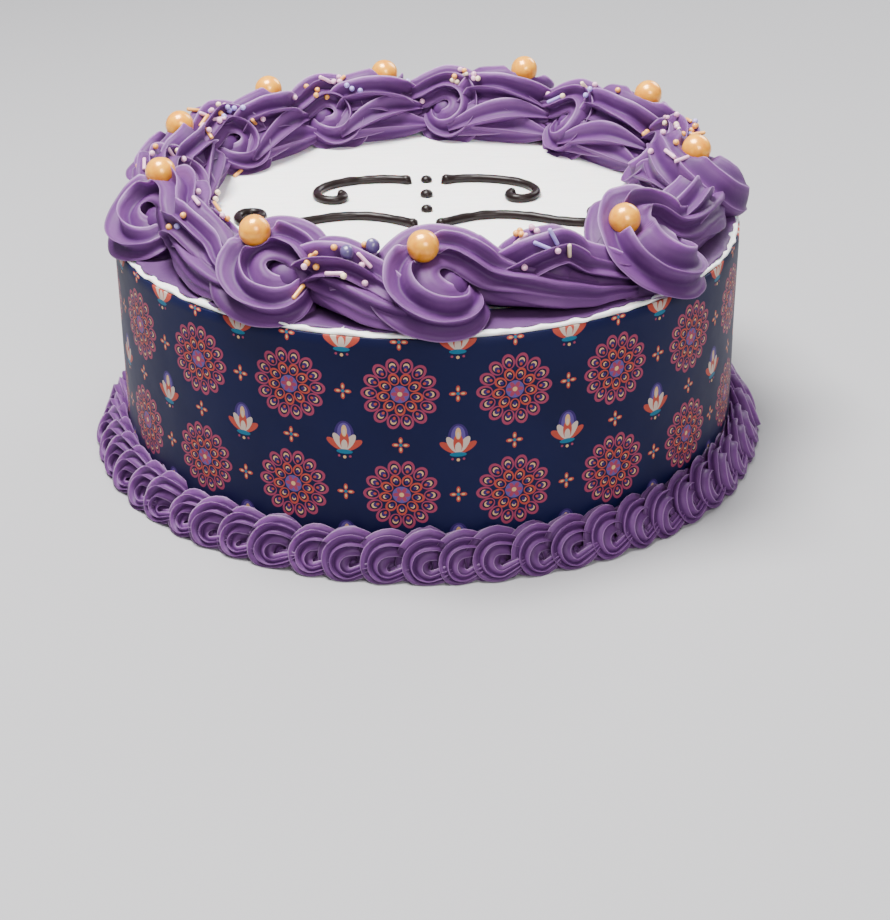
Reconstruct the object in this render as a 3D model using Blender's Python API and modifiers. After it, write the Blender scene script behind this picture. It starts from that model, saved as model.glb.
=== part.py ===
"""Round iced celebration cake: printed wrap, piped swirl ring with pearls, scrollwork, shell border.

Metres, +Z up. The cake stands on z = 0 with its axis on Z, and -Y is the front. Sizes are given in
millimetres and turned into metres where the meshes are made. Every piped shape is a fluted strand,
worked out by functions from the sizes below; each separate piece is one closed object.
"""

import math
import random
from dataclasses import dataclass, replace

import bmesh
import bpy
import numpy as np
from mathutils import Matrix, Vector
from mathutils.bvhtree import BVHTree

MM = 0.001
GAP = 0.3  # clear space between neighbouring pieces, mm

CAKE_HEIGHT = 76.4
WRAP_RADIUS = 102.0
WRAP_THICKNESS = 0.8
WRAP_BOTTOM = 0.6
WRAP_TOP = 75.2
WRAP_OVERLAP_DEG = 7.0
WRAP_OVERLAP_RISE = 0.3
BODY_RADIUS = WRAP_RADIUS - WRAP_THICKNESS - GAP
BODY_EDGE_ROUND = 1.6
ROUND_SEGMENTS = 64

RING_RADIUS = 86.0  # middle line of the piped ring
PEARL_RADIUS = 4.75
PEARL_PLACE = (0.0, 1.5, 20.9)  # centre of a usual pearl: t, r and z above the cake top
RIM_OFFSET = WRAP_RADIUS - RING_RADIUS

SHELL_COUNT = 46
BORDER_INNER = WRAP_RADIUS + 0.65
BORDER_HEIGHT = 15.0
BORDER_WIDTH = 11.4

SPRINKLE_ROD = (0.7, 5.6)  # radius and length
SPRINKLE_BALL = 1.0
SPRINKLES_PER_UNIT = 5
SWIRL_TRIANGLES = 460  # of a unit before its sprinkles and pocket
MELT_SIZE = 0.7  # fineness at which the strands of a unit are melted together, mm
PARTING = 2.2  # what the next unit is widened by before it is cut from a unit, mm

SEED = 20


@dataclass(frozen=True)
class Curl:
    """One piped curl: a fluted strand that winds round a tilted pivot and runs off in a tail.

    Lengths are mm along the ring (t), outward (r) and above the cake top (z).
    """

    pivot: tuple
    tilt: float
    fan: tuple  # (angle, strand radius, distance from the pivot, shift along the pivot)
    tail: tuple
    tail_radii: tuple
    flutes: int = 9
    depth: float = 0.36
    inward: bool = False
    droop: float = 0.5
    lean: float = 0.0

    def grown(self, size):
        """Return the curl with its strand and its winding scaled."""
        return replace(
            self,
            fan=tuple((a, r * size, d * size, s) for a, r, d, s in self.fan),
            tail_radii=tuple((u, r * size) for u, r in self.tail_radii),
        )


@dataclass(frozen=True)
class Unit:
    """One repeat of the swirl ring: its pearl's azimuth and place, its outward and its inward curl."""

    azimuth: float
    head: Curl
    link: Curl
    pearl: tuple = PEARL_PLACE


HEAD = Curl(
    pivot=(9.0, 3.0, 9.5),
    tilt=37.0,
    fan=(
        (-85, 4.6, 9.0, -4.5),
        (-40, 7.2, 8.0, -2.8),
        (0, 8.9, 9.1, -1.0),
        (45, 10.1, 10.4, 0.0),
        (90, 10.7, 11.8, 0.0),
        (135, 10.3, 11.3, 0.0),
        (180, 9.4, 9.7, 0.0),
        (215, 9.2, 9.5, 0.0),
    ),
    tail=((0.40, -1.5, 9.5), (0.62, 1.0, 7.5), (0.94, 2.8, 5.4)),
    tail_radii=((0, 9.2), (0.35, 8.6), (0.7, 8.0), (1, 6.4)),
)
LINK = Curl(
    pivot=(0.56, 4.0, 8.5),
    tilt=48.0,
    fan=(
        (-80, 4.4, 8.6, -3.6),
        (-35, 7.0, 7.8, -2.0),
        (5, 8.3, 8.5, -0.8),
        (50, 9.1, 9.4, 0.0),
        (100, 9.2, 9.6, 0.0),
        (150, 8.5, 9.2, 0.0),
        (180, 8.2, 9.0, 0.0),
    ),
    tail=((0.74, -2.0, 11.0), (0.88, -6.0, 8.0), (1.0, -7.6, 5.0)),
    tail_radii=((0, 8.2), (0.4, 7.6), (0.75, 6.2), (1, 3.6)),
    inward=True,
    droop=0.0,
)

UNITS = (
    Unit(
        -90.8,
        replace(
            HEAD.grown(1.04),
            droop=0.9,
            pivot=(7.0, 3.0, 10.0),
            tail=((0.32, -1.0, 10.0), (0.5, 4.5, 7.5), (0.7, 8.0, 4.5), (0.93, 9.8, 2.7)),
            tail_radii=((0, 9.2), (0.35, 8.6), (0.7, 6.8), (1, 3.2)),
        ),
        replace(LINK.grown(1.04), pivot=(0.62, 5.0, 9.0)),
        (0.0, 1.0, 21.6),
    ),
    Unit(
        -47.9,
        replace(
            HEAD.grown(1.08),
            lean=12.0,
            tail=((0.30, 3.0, 9.5), (0.44, 8.0, 7.0), (0.58, 4.0, 11.0)),
            tail_radii=((0, 9.2), (0.4, 9.5), (0.75, 8.0), (1, 2.4)),
        ),
        LINK.grown(1.12),
    ),
    Unit(-1.2, HEAD.grown(1.02), LINK.grown(1.02)),
    Unit(32.5, replace(HEAD, pivot=(9.0, 5.0, 11.3)), LINK, (0.0, 5.0, 23.6)),
    Unit(66.5, replace(HEAD.grown(0.98), pivot=(9.0, 4.5, 10.6)), LINK.grown(0.98), (0.0, 3.0, 23.0)),
    Unit(99.7, HEAD.grown(0.98), LINK.grown(0.98)),
    Unit(129.2, HEAD.grown(0.97), LINK.grown(0.97)),
    Unit(160.9, HEAD.grown(0.96), LINK.grown(0.96)),
    Unit(-167.4, replace(HEAD.grown(1.02), pivot=(12.0, 3.0, 9.5)), LINK.grown(1.02), (0.0, 0.0, 20.9)),
    Unit(-125.3, replace(HEAD, pivot=(11.0, 3.5, 9.5)), LINK),
)


def clear_scene():
    """Remove every object of the startup scene."""
    for found in list(bpy.data.objects):
        bpy.data.objects.remove(found, do_unlink=True)


def keyed(keys, at):
    """Return the value of a smooth curve through (position, value) keys.

    Args:
        keys: pairs in rising order of position.
        at: where to read the curve.

    Returns:
        The value there.
    """
    spots = np.array([k[0] for k in keys], float)
    values = np.array([k[1] for k in keys], float)
    slopes = np.gradient(values, spots)
    i = int(np.clip(np.searchsorted(spots, at) - 1, 0, len(spots) - 2))
    span = spots[i + 1] - spots[i]
    s = (at - spots[i]) / span
    return (
        (2 * s**3 - 3 * s**2 + 1) * values[i]
        + (s**3 - 2 * s**2 + s) * span * slopes[i]
        + (-2 * s**3 + 3 * s**2) * values[i + 1]
        + (s**3 - s**2) * span * slopes[i + 1]
    )


def spline(points, steps):
    """Return points on a Catmull-Rom curve through the given points, the end points included."""
    points = np.asarray(points, float)
    padded = np.vstack([2 * points[0] - points[1], points, 2 * points[-1] - points[-2]])
    segments = len(points) - 1
    found = []
    for k in range(steps):
        s = k / (steps - 1) * segments
        i = min(int(s), segments - 1)
        u = s - i
        a, b, c, d = padded[i : i + 4]
        found.append(
            0.5 * (2 * b + (c - a) * u + (2 * a - 5 * b + 4 * c - d) * u * u + (3 * b - a - 3 * c + d) * u**3)
        )
    return np.array(found)


def star_section(centre, across, along, radius, flutes, depth):
    """Return one star-shaped section of a piped strand: a crest and a groove for each flute."""
    angles = np.arange(2 * flutes) * math.pi / flutes
    reach = radius * np.where(np.arange(2 * flutes) % 2 == 0, 1.0, 1.0 - depth)
    return centre + np.outer(np.cos(angles) * reach, across) + np.outer(np.sin(angles) * reach, along)


def carried_frames(path, across, along):
    """Carry a pair of section axes along a path without twist."""
    heading = np.gradient(path, axis=0)
    heading /= np.linalg.norm(heading, axis=1)[:, None]
    frames = [(across, along)]
    for before, after in zip(heading[:-1], heading[1:]):
        axis = np.cross(before, after)
        size = np.linalg.norm(axis)
        if size > 1e-9:
            turn = np.array(Matrix.Rotation(math.atan2(size, before @ after), 3, Vector(axis / size)))
            across, along = turn @ across, turn @ along
        frames.append((across, along))
    return frames


def rest_on_cake(points, droop):
    """Press points gently onto the cake top, which falls away past the rim."""
    ground = -np.maximum(0, points[:, 1] - RIM_OFFSET + 1.5) * droop
    rise = points[:, 2] - ground
    points[:, 2] = ground + 0.5 * (rise + np.sqrt(rise * rise + 1.0)) - 0.1
    return points


def round_the_ring(points, azimuth):
    """Bend (t, r, z) points in mm round the ring, to metres in the cake's frame."""
    angle = math.radians(azimuth) + points[:, 0] / RING_RADIUS
    reach = RING_RADIUS + points[:, 1]
    return MM * np.stack([reach * np.cos(angle), reach * np.sin(angle), CAKE_HEIGHT + points[:, 2]], axis=-1)


def curl_sections(curl, pitch, fan_steps, tail_steps, grow=0.0):
    """Work out the sections of a curl and its tail.

    Args:
        curl: sizes of the curl.
        pitch: distance to the next unit along the ring, mm.
        fan_steps: number of sections round the pivot.
        tail_steps: number of sections along the tail.
        grow: extra radius, for a cutter.

    Returns:
        List of point arrays in (t, r, z).
    """
    tilt = math.radians(curl.tilt)
    axis = np.array([0, math.sin(tilt), math.cos(tilt)])
    ahead = np.array([1.0, 0, 0])
    down = np.array([0, math.cos(tilt), -math.sin(tilt)])
    if curl.lean:
        turn = np.array(Matrix.Rotation(math.radians(curl.lean), 3, Vector(down)))
        axis, ahead = turn @ axis, turn @ ahead
    radius_keys = [(k[0], k[1]) for k in curl.fan]
    distance_keys = [(k[0], k[2]) for k in curl.fan]
    shift_keys = [(k[0], k[3]) for k in curl.fan]
    pivot = np.array(curl.pivot, float)
    sections, centres = [], []
    for degrees in np.linspace(curl.fan[0][0], curl.fan[-1][0], fan_steps):
        angle = math.radians(degrees)
        out = math.cos(angle) * down - math.sin(angle) * ahead
        radius = keyed(radius_keys, degrees) + grow
        centre = pivot + out * keyed(distance_keys, degrees) + axis * keyed(shift_keys, degrees)
        sections.append(star_section(centre, out, axis, radius, curl.flutes, curl.depth))
        centres.append(centre)
    step = centres[-1] - centres[-2]
    tail = [(t * pitch, r, z) for t, r, z in curl.tail]
    knots = np.vstack([centres[-1] - step / np.linalg.norm(step) * 8, centres[-1], tail])
    parts = len(knots) - 1
    path = spline(knots, 1 + parts * 6)[6:]
    path = path[np.linspace(0, len(path) - 1, tail_steps + 1).round().astype(int)]
    frames = carried_frames(path, out, axis)
    for i in range(1, len(path)):
        radius = keyed(curl.tail_radii, i / (len(path) - 1)) + grow
        sections.append(star_section(path[i], *frames[i], radius, curl.flutes, curl.depth))
    if curl.inward:
        sections = [s * (1, -1, 1) for s in sections][::-1]
    return [rest_on_cake(s, curl.droop) for s in sections]


def strand_sections(points, radii, steps, sides, grow=0.0):
    """Work out the sections of a plain round strand along a curve in (t, r, z)."""
    path = spline(points, steps)
    heading = path[1] - path[0]
    heading /= np.linalg.norm(heading)
    across = np.cross(heading, (0, 0, 1.0))
    across /= np.linalg.norm(across)
    frames = carried_frames(path, across, np.cross(across, heading))
    sections = []
    for i, (a, b) in enumerate(frames):
        radius = keyed(radii, i / (steps - 1)) + grow
        angles = np.arange(sides) * 2 * math.pi / sides
        sections.append(path[i] + radius * (np.outer(np.cos(angles), a) + np.outer(np.sin(angles), b)))
    return sections


def loft(name, sections, closed=False):
    """Skin a row of equal-sized sections into one closed object.

    Args:
        name: object name.
        sections: point arrays in metres.
        closed: join the last section to the first instead of capping both.

    Returns:
        The new object, its faces turned outward.
    """
    size = len(sections[0])
    mesh = bmesh.new()
    rings = [[mesh.verts.new(p) for p in section] for section in sections]
    pairs = list(zip(rings[:-1], rings[1:])) + ([(rings[-1], rings[0])] if closed else [])
    for first, second in pairs:
        for j in range(size):
            k = (j + 1) % size
            mesh.faces.new((first[j], first[k], second[k], second[j]))
    if not closed:
        for ring, flip in ((rings[0], True), (rings[-1], False)):
            middle = mesh.verts.new(sum((v.co for v in ring), Vector()) / size)
            for j in range(size):
                k = (j + 1) % size
                mesh.faces.new((middle, ring[k], ring[j]) if flip else (middle, ring[j], ring[k]))
    bmesh.ops.triangulate(mesh, faces=mesh.faces[:])
    bmesh.ops.recalc_face_normals(mesh, faces=mesh.faces[:])
    return to_object(name, mesh)


def to_object(name, mesh):
    """Turn a bmesh into a linked object."""
    data = bpy.data.meshes.new(name)
    mesh.to_mesh(data)
    mesh.free()
    made = bpy.data.objects.new(name, data)
    bpy.context.scene.collection.objects.link(made)
    return made


def merge(pieces):
    """Melt overlapping closed pieces into one watertight skin.

    Args:
        pieces: the objects; the first one is kept and the others are removed.

    Returns:
        The first object with the joint skin.
    """
    mesh = bmesh.new()
    for piece in pieces:
        mesh.from_mesh(piece.data)
    target, *others = pieces
    mesh.to_mesh(target.data)
    mesh.free()
    for other in others:
        bpy.data.objects.remove(other, do_unlink=True)
    modifier = target.modifiers.new("melt", "REMESH")
    modifier.mode = "VOXEL"
    modifier.voxel_size = MELT_SIZE * MM
    graph = bpy.context.evaluated_depsgraph_get()
    data = bpy.data.meshes.new_from_object(target.evaluated_get(graph))
    target.modifiers.clear()
    target.data = data
    return target


def combine(target, others, operation, solver="EXACT"):
    """Apply one Boolean of a collection of closed objects to the target, and remove those objects.

    Args:
        target: the object that is changed.
        others: closed objects joined to it or cut from it.
        operation: UNION or DIFFERENCE.
        solver: EXACT, or MANIFOLD for dense watertight skins.

    Returns:
        The target.
    """
    group = bpy.data.collections.new(operation)
    for other in others:
        group.objects.link(other)
    modifier = target.modifiers.new(operation, "BOOLEAN")
    modifier.operation = operation
    modifier.operand_type = "COLLECTION"
    modifier.collection = group
    modifier.solver = solver
    graph = bpy.context.evaluated_depsgraph_get()
    data = bpy.data.meshes.new_from_object(target.evaluated_get(graph))
    target.modifiers.clear()
    target.data = data
    for other in others:
        bpy.data.objects.remove(other, do_unlink=True)
    bpy.data.collections.remove(group)
    return target


def keep_largest(target):
    """Drop loose scraps that a cut left beside the main body, also where they touch it at a point."""
    mesh = bmesh.new()
    mesh.from_mesh(target.data)
    left, islands = set(mesh.faces), []
    while left:
        stack, island = [left.pop()], set()
        while stack:
            face = stack.pop()
            island.add(face)
            for edge in face.edges:
                for other in edge.link_faces:
                    if other in left:
                        left.remove(other)
                        stack.append(other)
        islands.append(island)
    largest = max(islands, key=len)
    loose = [face for island in islands if island is not largest for face in island]
    bmesh.ops.delete(mesh, geom=loose, context="FACES")
    bmesh.ops.triangulate(mesh, faces=mesh.faces[:])
    mesh.to_mesh(target.data)
    mesh.free()
    return target


def lathe(name, profile, segments, phase=0.0):
    """Turn an (radius, height) profile in mm, axis points at both ends, into a closed body."""
    mesh = bmesh.new()
    foot = mesh.verts.new((0, 0, profile[0][1] * MM))
    head = mesh.verts.new((0, 0, profile[-1][1] * MM))
    rings = []
    for radius, height in profile[1:-1]:
        angles = [phase + 2 * math.pi * k / segments for k in range(segments)]
        spots = [Vector((radius * math.cos(a), radius * math.sin(a), height)) * MM for a in angles]
        rings.append([mesh.verts.new(spot) for spot in spots])
    for k in range(segments):
        n = (k + 1) % segments
        mesh.faces.new((foot, rings[0][n], rings[0][k]))
        for low, high in zip(rings[:-1], rings[1:]):
            mesh.faces.new((low[k], low[n], high[n], high[k]))
        mesh.faces.new((head, rings[-1][k], rings[-1][n]))
    bmesh.ops.triangulate(mesh, faces=mesh.faces[:])
    bmesh.ops.recalc_face_normals(mesh, faces=mesh.faces[:])
    return to_object(name, mesh)


def ball(name, centre, radius, segments=10, rings=7):
    """Make a closed ball; centre in metres, radius in mm."""
    mesh = bmesh.new()
    bmesh.ops.create_uvsphere(mesh, u_segments=segments, v_segments=rings, radius=radius * MM)
    bmesh.ops.translate(mesh, verts=mesh.verts[:], vec=centre)
    bmesh.ops.triangulate(mesh, faces=mesh.faces[:])
    return to_object(name, mesh)


def build_body():
    """Make the cake itself: a solid drum with a softly rounded top edge."""
    edge = BODY_EDGE_ROUND
    profile = [(0, 0), (BODY_RADIUS, 0), (BODY_RADIUS, CAKE_HEIGHT - edge)]
    for angle in (45, 90):
        a = math.radians(angle)
        profile.append((BODY_RADIUS - edge * (1 - math.cos(a)), CAKE_HEIGHT - edge * (1 - math.sin(a))))
    profile.append((0, CAKE_HEIGHT))
    return lathe("cake_body", profile, ROUND_SEGMENTS)


def build_wrap():
    """Make the printed wrap: a thin band whose ends overlap at the back."""
    step = 2 * math.pi / ROUND_SEGMENTS
    half = math.radians(WRAP_OVERLAP_DEG) / 2
    back = math.pi / 2
    marks = [k * step for k in range(ROUND_SEGMENTS)]
    marks += [back - half, back - half * 0.94, back + half, back + half * 0.94]
    sections = []
    for angle in sorted(set(round(a, 6) for a in marks)):
        inside_overlap = abs(angle - back) < half * 0.97
        outer = WRAP_RADIUS + (WRAP_OVERLAP_RISE if inside_overlap else 0)
        inner = WRAP_RADIUS - WRAP_THICKNESS
        corners = ((inner, WRAP_BOTTOM), (outer, WRAP_BOTTOM), (outer, WRAP_TOP), (inner, WRAP_TOP))
        sections.append([Vector((r * math.cos(angle), r * math.sin(angle), z)) * MM for r, z in corners])
    return loft("wrap", sections, closed=True)


def unit_parts(unit, pitch, grow=0.0):
    """Make the pieces that one unit is united from: its curls, the strands under them and their cores.

    Args:
        unit: the repeat.
        pitch: distance to the next unit along the ring, mm.
        grow: extra radius, for cutters.

    Returns:
        The closed objects, the head first and the link second.
    """
    link = replace(unit.link, pivot=(unit.link.pivot[0] * pitch, *unit.link.pivot[1:]))
    base = strand_sections(
        [(-10 - 2 * grow, -7.5, 4.6), (6, -7.5, 5.2), (0.56 * pitch, -7.0, 4.4)],
        ((0, 4.0), (0.5, 6.2), (1, 3.6)),
        4,
        6,
        grow,
    )
    slope = strand_sections(
        [(-9 - 2 * grow, -4.2, 9.3), (3, -7.4, 9.6), (13, -9.8, 7.6), (0.50 * pitch, -12.3, 4.2)],
        ((0, 3.6), (0.3, 6.8), (0.7, 6.3), (1, 3.2)),
        5,
        7,
        grow,
    )
    laid = (
        ("head", curl_sections(unit.head, pitch, 11, 5, grow)),
        ("link", curl_sections(link, pitch, 9, 5, grow)),
        ("base", [rest_on_cake(s, 0.0) for s in base]),
        ("slope", [rest_on_cake(s, 0.0) for s in slope]),
    )
    made = [loft(name, [round_the_ring(s, unit.azimuth) for s in rows]) for name, rows in laid]
    for curl, radius in ((unit.head, 6.6), (link, 5.6)):
        tilt = math.radians(curl.tilt)
        t, r, z = curl.pivot
        r, z = r - math.sin(tilt) * 3.6, z - math.cos(tilt) * 3.6
        place = np.array([[t, -r if curl.inward else r, max(z, radius - 2.0)]])
        made.append(ball("core", Vector(round_the_ring(place, unit.azimuth)[0]), radius + grow, 9, 6))
    return made


def add_sprinkles(target, unit, pitch, dice):
    """Press small rods and balls into the top of a unit, mostly on its link."""
    surface = BVHTree.FromPolygons(
        [v.co for v in target.data.vertices], [tuple(p.vertices) for p in target.data.polygons]
    )
    pearl = pearl_centre(unit)
    pieces = []
    placed = []
    for _ in range(60):
        if len(pieces) == SPRINKLES_PER_UNIT:
            break
        spot = np.array([[dice.uniform(0.36 * pitch, pitch - 18), dice.uniform(-9, 5), 40.0]])
        above = Vector(round_the_ring(spot, unit.azimuth)[0])
        hit, normal, _, _ = surface.ray_cast(above, Vector((0, 0, -1)))
        if hit is None or normal.z < 0.45 or (hit - pearl).length < 9 * MM or hit.z < (CAKE_HEIGHT + 8) * MM:
            continue
        if any((hit - other).length < 5.2 * MM for other in placed):
            continue
        placed.append(hit)
        rod = dice.random() < 0.5
        mesh = bmesh.new()
        if rod:
            radius, length = SPRINKLE_ROD
            bmesh.ops.create_cone(
                mesh, cap_ends=True, segments=6, radius1=radius * MM, radius2=radius * MM, depth=length * MM
            )
            lay = normal.orthogonal()
            lay.rotate(Matrix.Rotation(dice.uniform(0, math.tau), 3, normal))
            turn = lay.to_track_quat("Z", "Y").to_matrix().to_4x4()
            lift = radius * 0.25
        else:
            bmesh.ops.create_icosphere(mesh, subdivisions=1, radius=SPRINKLE_BALL * MM)
            turn = Matrix.Rotation(dice.uniform(0, 3), 4, "X")
            lift = SPRINKLE_BALL * 0.3
        bmesh.ops.transform(mesh, matrix=Matrix.Translation(hit + normal * lift * MM) @ turn, verts=mesh.verts[:])
        bmesh.ops.triangulate(mesh, faces=mesh.faces[:])
        pieces.append(to_object("sprinkle", mesh))
    return combine(target, pieces, "UNION", "MANIFOLD")


def pearl_centre(unit):
    """Return the centre of a unit's pearl in metres."""
    return Vector(round_the_ring(np.array([unit.pearl]), unit.azimuth)[0])


def thin_out(target, triangles):
    """Reduce a body to a number of triangles, keeping its form."""
    modifier = target.modifiers.new("thin", "DECIMATE")
    modifier.ratio = min(1.0, triangles / len(target.data.polygons))
    graph = bpy.context.evaluated_depsgraph_get()
    data = bpy.data.meshes.new_from_object(target.evaluated_get(graph))
    target.modifiers.clear()
    target.data = data
    for vert in data.vertices:
        vert.co.z = max(vert.co.z, (CAKE_HEIGHT + GAP) * MM)


def ground_block():
    """Make a block that fills everything below the underside of the piped icing."""
    mesh = bmesh.new()
    bmesh.ops.create_cube(mesh, size=1.0)
    depth = 0.04
    move = Matrix.Translation((0, 0, (CAKE_HEIGHT + GAP) * MM - depth / 2)) @ Matrix.Diagonal((0.3, 0.3, depth, 1))
    bmesh.ops.transform(mesh, matrix=move, verts=mesh.verts[:])
    return to_object("ground", mesh)


def build_swirl(index, dice):
    """Make one unit of the piped ring, clear of the cake, its pearl and the next unit."""
    unit = UNITS[index]
    follower = UNITS[(index + 1) % len(UNITS)]
    pitch = pitch_of(index)
    target = merge(unit_parts(unit, pitch))
    target.name = f"swirl_{index + 1:02d}"
    cutters = unit_parts(follower, pitch_of((index + 1) % len(UNITS)), grow=PARTING)
    bpy.data.objects.remove(cutters.pop(1), do_unlink=True)
    combine(target, [merge(cutters)], "DIFFERENCE", "MANIFOLD")
    combine(target, [ground_block()], "DIFFERENCE", "MANIFOLD")
    keep_largest(target)
    thin_out(target, SWIRL_TRIANGLES)
    add_sprinkles(target, unit, pitch, dice)
    pocket = ball("pocket", pearl_centre(unit), PEARL_RADIUS + 2 * GAP, 8, 6)
    combine(target, [pocket], "DIFFERENCE", "MANIFOLD")
    return keep_largest(target)


def pitch_of(index):
    """Return the distance along the ring from a unit's pearl to the next, mm."""
    here, there = UNITS[index].azimuth, UNITS[(index + 1) % len(UNITS)].azimuth
    return math.radians((there - here) % 360) * RING_RADIUS


def build_border():
    """Make the shell border as one ring whose section swells and leans with every shell."""
    # offset out from the wrap and height of each ridge line of a full shell, and its lean backward
    ridges = ((0.0, 0.0, 0.0), (0.0, 0.93, 0.42), (0.20, 1.0, 0.40), (0.42, 0.80, 0.28),
              (0.68, 0.84, 0.18), (0.84, 0.46, 0.05), (1.0, 0.36, 0.0))
    stations = ((0.0, 0.62), (0.14, 0.98), (0.45, 1.0), (0.80, 0.80))
    turn = 2 * math.pi / SHELL_COUNT
    sections = []
    dice = random.Random(SEED)
    for shell in range(SHELL_COUNT):
        swell = dice.uniform(0.94, 1.0)
        for spot, size in stations:
            section = []
            for out, rise, lean in ridges:
                angle = turn * (shell + spot - 0.8 * lean)
                radius = BORDER_INNER + BORDER_WIDTH * out * (0.72 + 0.28 * size) * swell
                height = BORDER_HEIGHT * rise * size * swell
                section.append(Vector((radius * math.cos(angle), radius * math.sin(angle), height)) * MM)
            sections.append(section)
    return loft("shell_border", sections, closed=True)


def scroll_curve(spec, steps):
    """Return the plan of a piped line: an arc length that winds up at one or both ends."""
    start, heading, length, bend_keys = spec
    point, angle = np.array(start, float), math.radians(heading)
    points = [point.copy()]
    fine = 12
    for i in range((steps - 1) * fine):
        u = (i + 0.5) / ((steps - 1) * fine)
        angle += math.radians(keyed(bend_keys, u)) * length / ((steps - 1) * fine)
        point = point + np.array([math.cos(angle), math.sin(angle)]) * length / ((steps - 1) * fine)
        if (i + 1) % fine == 0:
            points.append(point.copy())
    return np.array(points)


def piped_line(name, points, radius):
    """Make a soft chocolate line that lies on the cake top along a plan curve in mm."""
    heading = np.gradient(points, axis=0)
    heading /= np.linalg.norm(heading, axis=1)[:, None]
    sections = []
    count = len(points)
    for i, (point, ahead) in enumerate(zip(points, heading)):
        side = np.array([-ahead[1], ahead[0]])
        taper = min(1.0, 0.62 + 0.38 * min(i, count - 1 - i) / 1.5)
        section = []
        for across, rise in ((1.0, 0.0), (0.72, 1.15), (0.0, 1.6), (-0.72, 1.15), (-1.0, 0.0)):
            x, y = point + side * across * radius * taper
            section.append(Vector((x, y, CAKE_HEIGHT + GAP + rise * radius * taper)) * MM)
        sections.append(section)
    return loft(name, sections)


SCROLLS = {
    # start, heading, length in mm, and bend in degrees per mm along the line
    "scroll_right": ((3.0, -16.0), 38.0, 84.0, ((0, -0.4), (0.3, -2.4), (0.55, 2.0), (0.75, 8.0), (1.0, 23.0))),
    "scroll_top_right": ((5.0, 26.0), 28.0, 58.0, ((0, -3.5), (0.3, -1.6), (0.6, -5.5), (0.8, -11.0), (1.0, -26.0))),
}
DOTS = {"dot_top": (0.0, 28.5, 2.0), "dot_middle": (0.0, 14.0, 2.2), "dot_low": (0.0, 0.0, 2.0)}
LINE_RADIUS = 1.45


def build_scrolls():
    """Make the mirrored chocolate scrolls and the dots between them."""
    for name, spec in SCROLLS.items():
        steps = 24 if "top" not in name else 18
        points = scroll_curve(spec, steps)
        piped_line(name, points, LINE_RADIUS)
        piped_line(name.replace("right", "left"), points * (-1, 1), LINE_RADIUS)
    for name, (x, y, radius) in DOTS.items():
        profile = [(0, 0), (radius, 0), (radius * 0.8, radius * 0.62), (0, radius)]
        dot = lathe(name, profile, 10)
        for vert in dot.data.vertices:
            vert.co += Vector((x, y, CAKE_HEIGHT + GAP)) * MM


def main():
    """Build every node of the cake."""
    clear_scene()
    dice = random.Random(SEED)
    build_body()
    build_wrap()
    for index in range(len(UNITS)):
        build_swirl(index, dice)
        ball(f"pearl_{index + 1:02d}", pearl_centre(UNITS[index]), PEARL_RADIUS)
    build_border()
    build_scrolls()


main()
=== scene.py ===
"""Looks of the iced celebration cake: piped swirls, pearls, sprinkles, printed wrap and shell border.

The cake stands on z = 0 with its axis on Z, and -Y is the front. Piped shapes are worked out in
millimetres in a strip that is then bent round a ring: t runs along the ring, r outward and z up.
"""

import itertools
import logging
import math
import random
from dataclasses import dataclass, field, replace
from enum import Enum
from typing import Sequence

import bmesh
import bpy
import numpy as np
from mathutils import Matrix, Vector, noise
from mathutils.bvhtree import BVHTree


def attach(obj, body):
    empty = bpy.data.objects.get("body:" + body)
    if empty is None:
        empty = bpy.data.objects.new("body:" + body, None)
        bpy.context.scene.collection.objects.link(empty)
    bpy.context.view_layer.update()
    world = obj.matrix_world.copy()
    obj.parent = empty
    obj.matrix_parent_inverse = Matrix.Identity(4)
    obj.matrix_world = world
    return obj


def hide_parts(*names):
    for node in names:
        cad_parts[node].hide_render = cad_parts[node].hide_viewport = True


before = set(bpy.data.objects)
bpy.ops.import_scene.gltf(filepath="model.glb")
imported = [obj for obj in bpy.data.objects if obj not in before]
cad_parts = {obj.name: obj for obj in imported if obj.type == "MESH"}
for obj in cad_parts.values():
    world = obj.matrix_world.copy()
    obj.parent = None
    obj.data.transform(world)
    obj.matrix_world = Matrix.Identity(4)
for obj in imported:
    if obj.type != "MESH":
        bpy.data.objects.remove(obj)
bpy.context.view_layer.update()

log = logging.getLogger("cake")

MM = 0.001
BODY = "root"
PHOTO_SIZE = (890, 920)
NOISE_SEED = 7

CAKE_HEIGHT = 76.4
WRAP_RADIUS = 102.0
WRAP_THICKNESS = 0.8
WRAP_TOP = 75.2
WRAP_BOTTOM = 0.6
RING_RADIUS = 86.0

Colour = tuple[float, float, float]
Point = tuple[float, float, float]
Pair = tuple[float, float]
Face = tuple[int, ...]
Axes = tuple[np.ndarray, np.ndarray]
Socket = bpy.types.NodeSocket
Input = Socket | float | tuple[float, ...]
Inputs = dict[str | int, Input]
Rows = list[np.ndarray]


class Turn(Enum):
    """The side of the ring on which a curl winds up."""

    OUTWARD = 1
    INWARD = -1


class SprinkleKind(Enum):
    """The sugar shapes scattered on the swirls."""

    ROD = "rod"
    BALL = "ball"
    LUMP = "lump"


def keyed(keys: Sequence[Pair], at: float) -> float:
    """Read a smooth curve through keys.

    Args:
        keys: (position, value) pairs in rising order of position.
        at: where to read the curve.

    Returns:
        The value there.
    """
    spots = np.array([k[0] for k in keys], float)
    values = np.array([k[1] for k in keys], float)
    slopes = np.gradient(values, spots)
    i = int(np.clip(np.searchsorted(spots, at) - 1, 0, len(spots) - 2))
    span = spots[i + 1] - spots[i]
    s = (at - spots[i]) / span
    return float(
        (2 * s**3 - 3 * s**2 + 1) * values[i]
        + (s**3 - 2 * s**2 + s) * span * slopes[i]
        + (-2 * s**3 + 3 * s**2) * values[i + 1]
        + (s**3 - s**2) * span * slopes[i + 1]
    )


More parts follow.
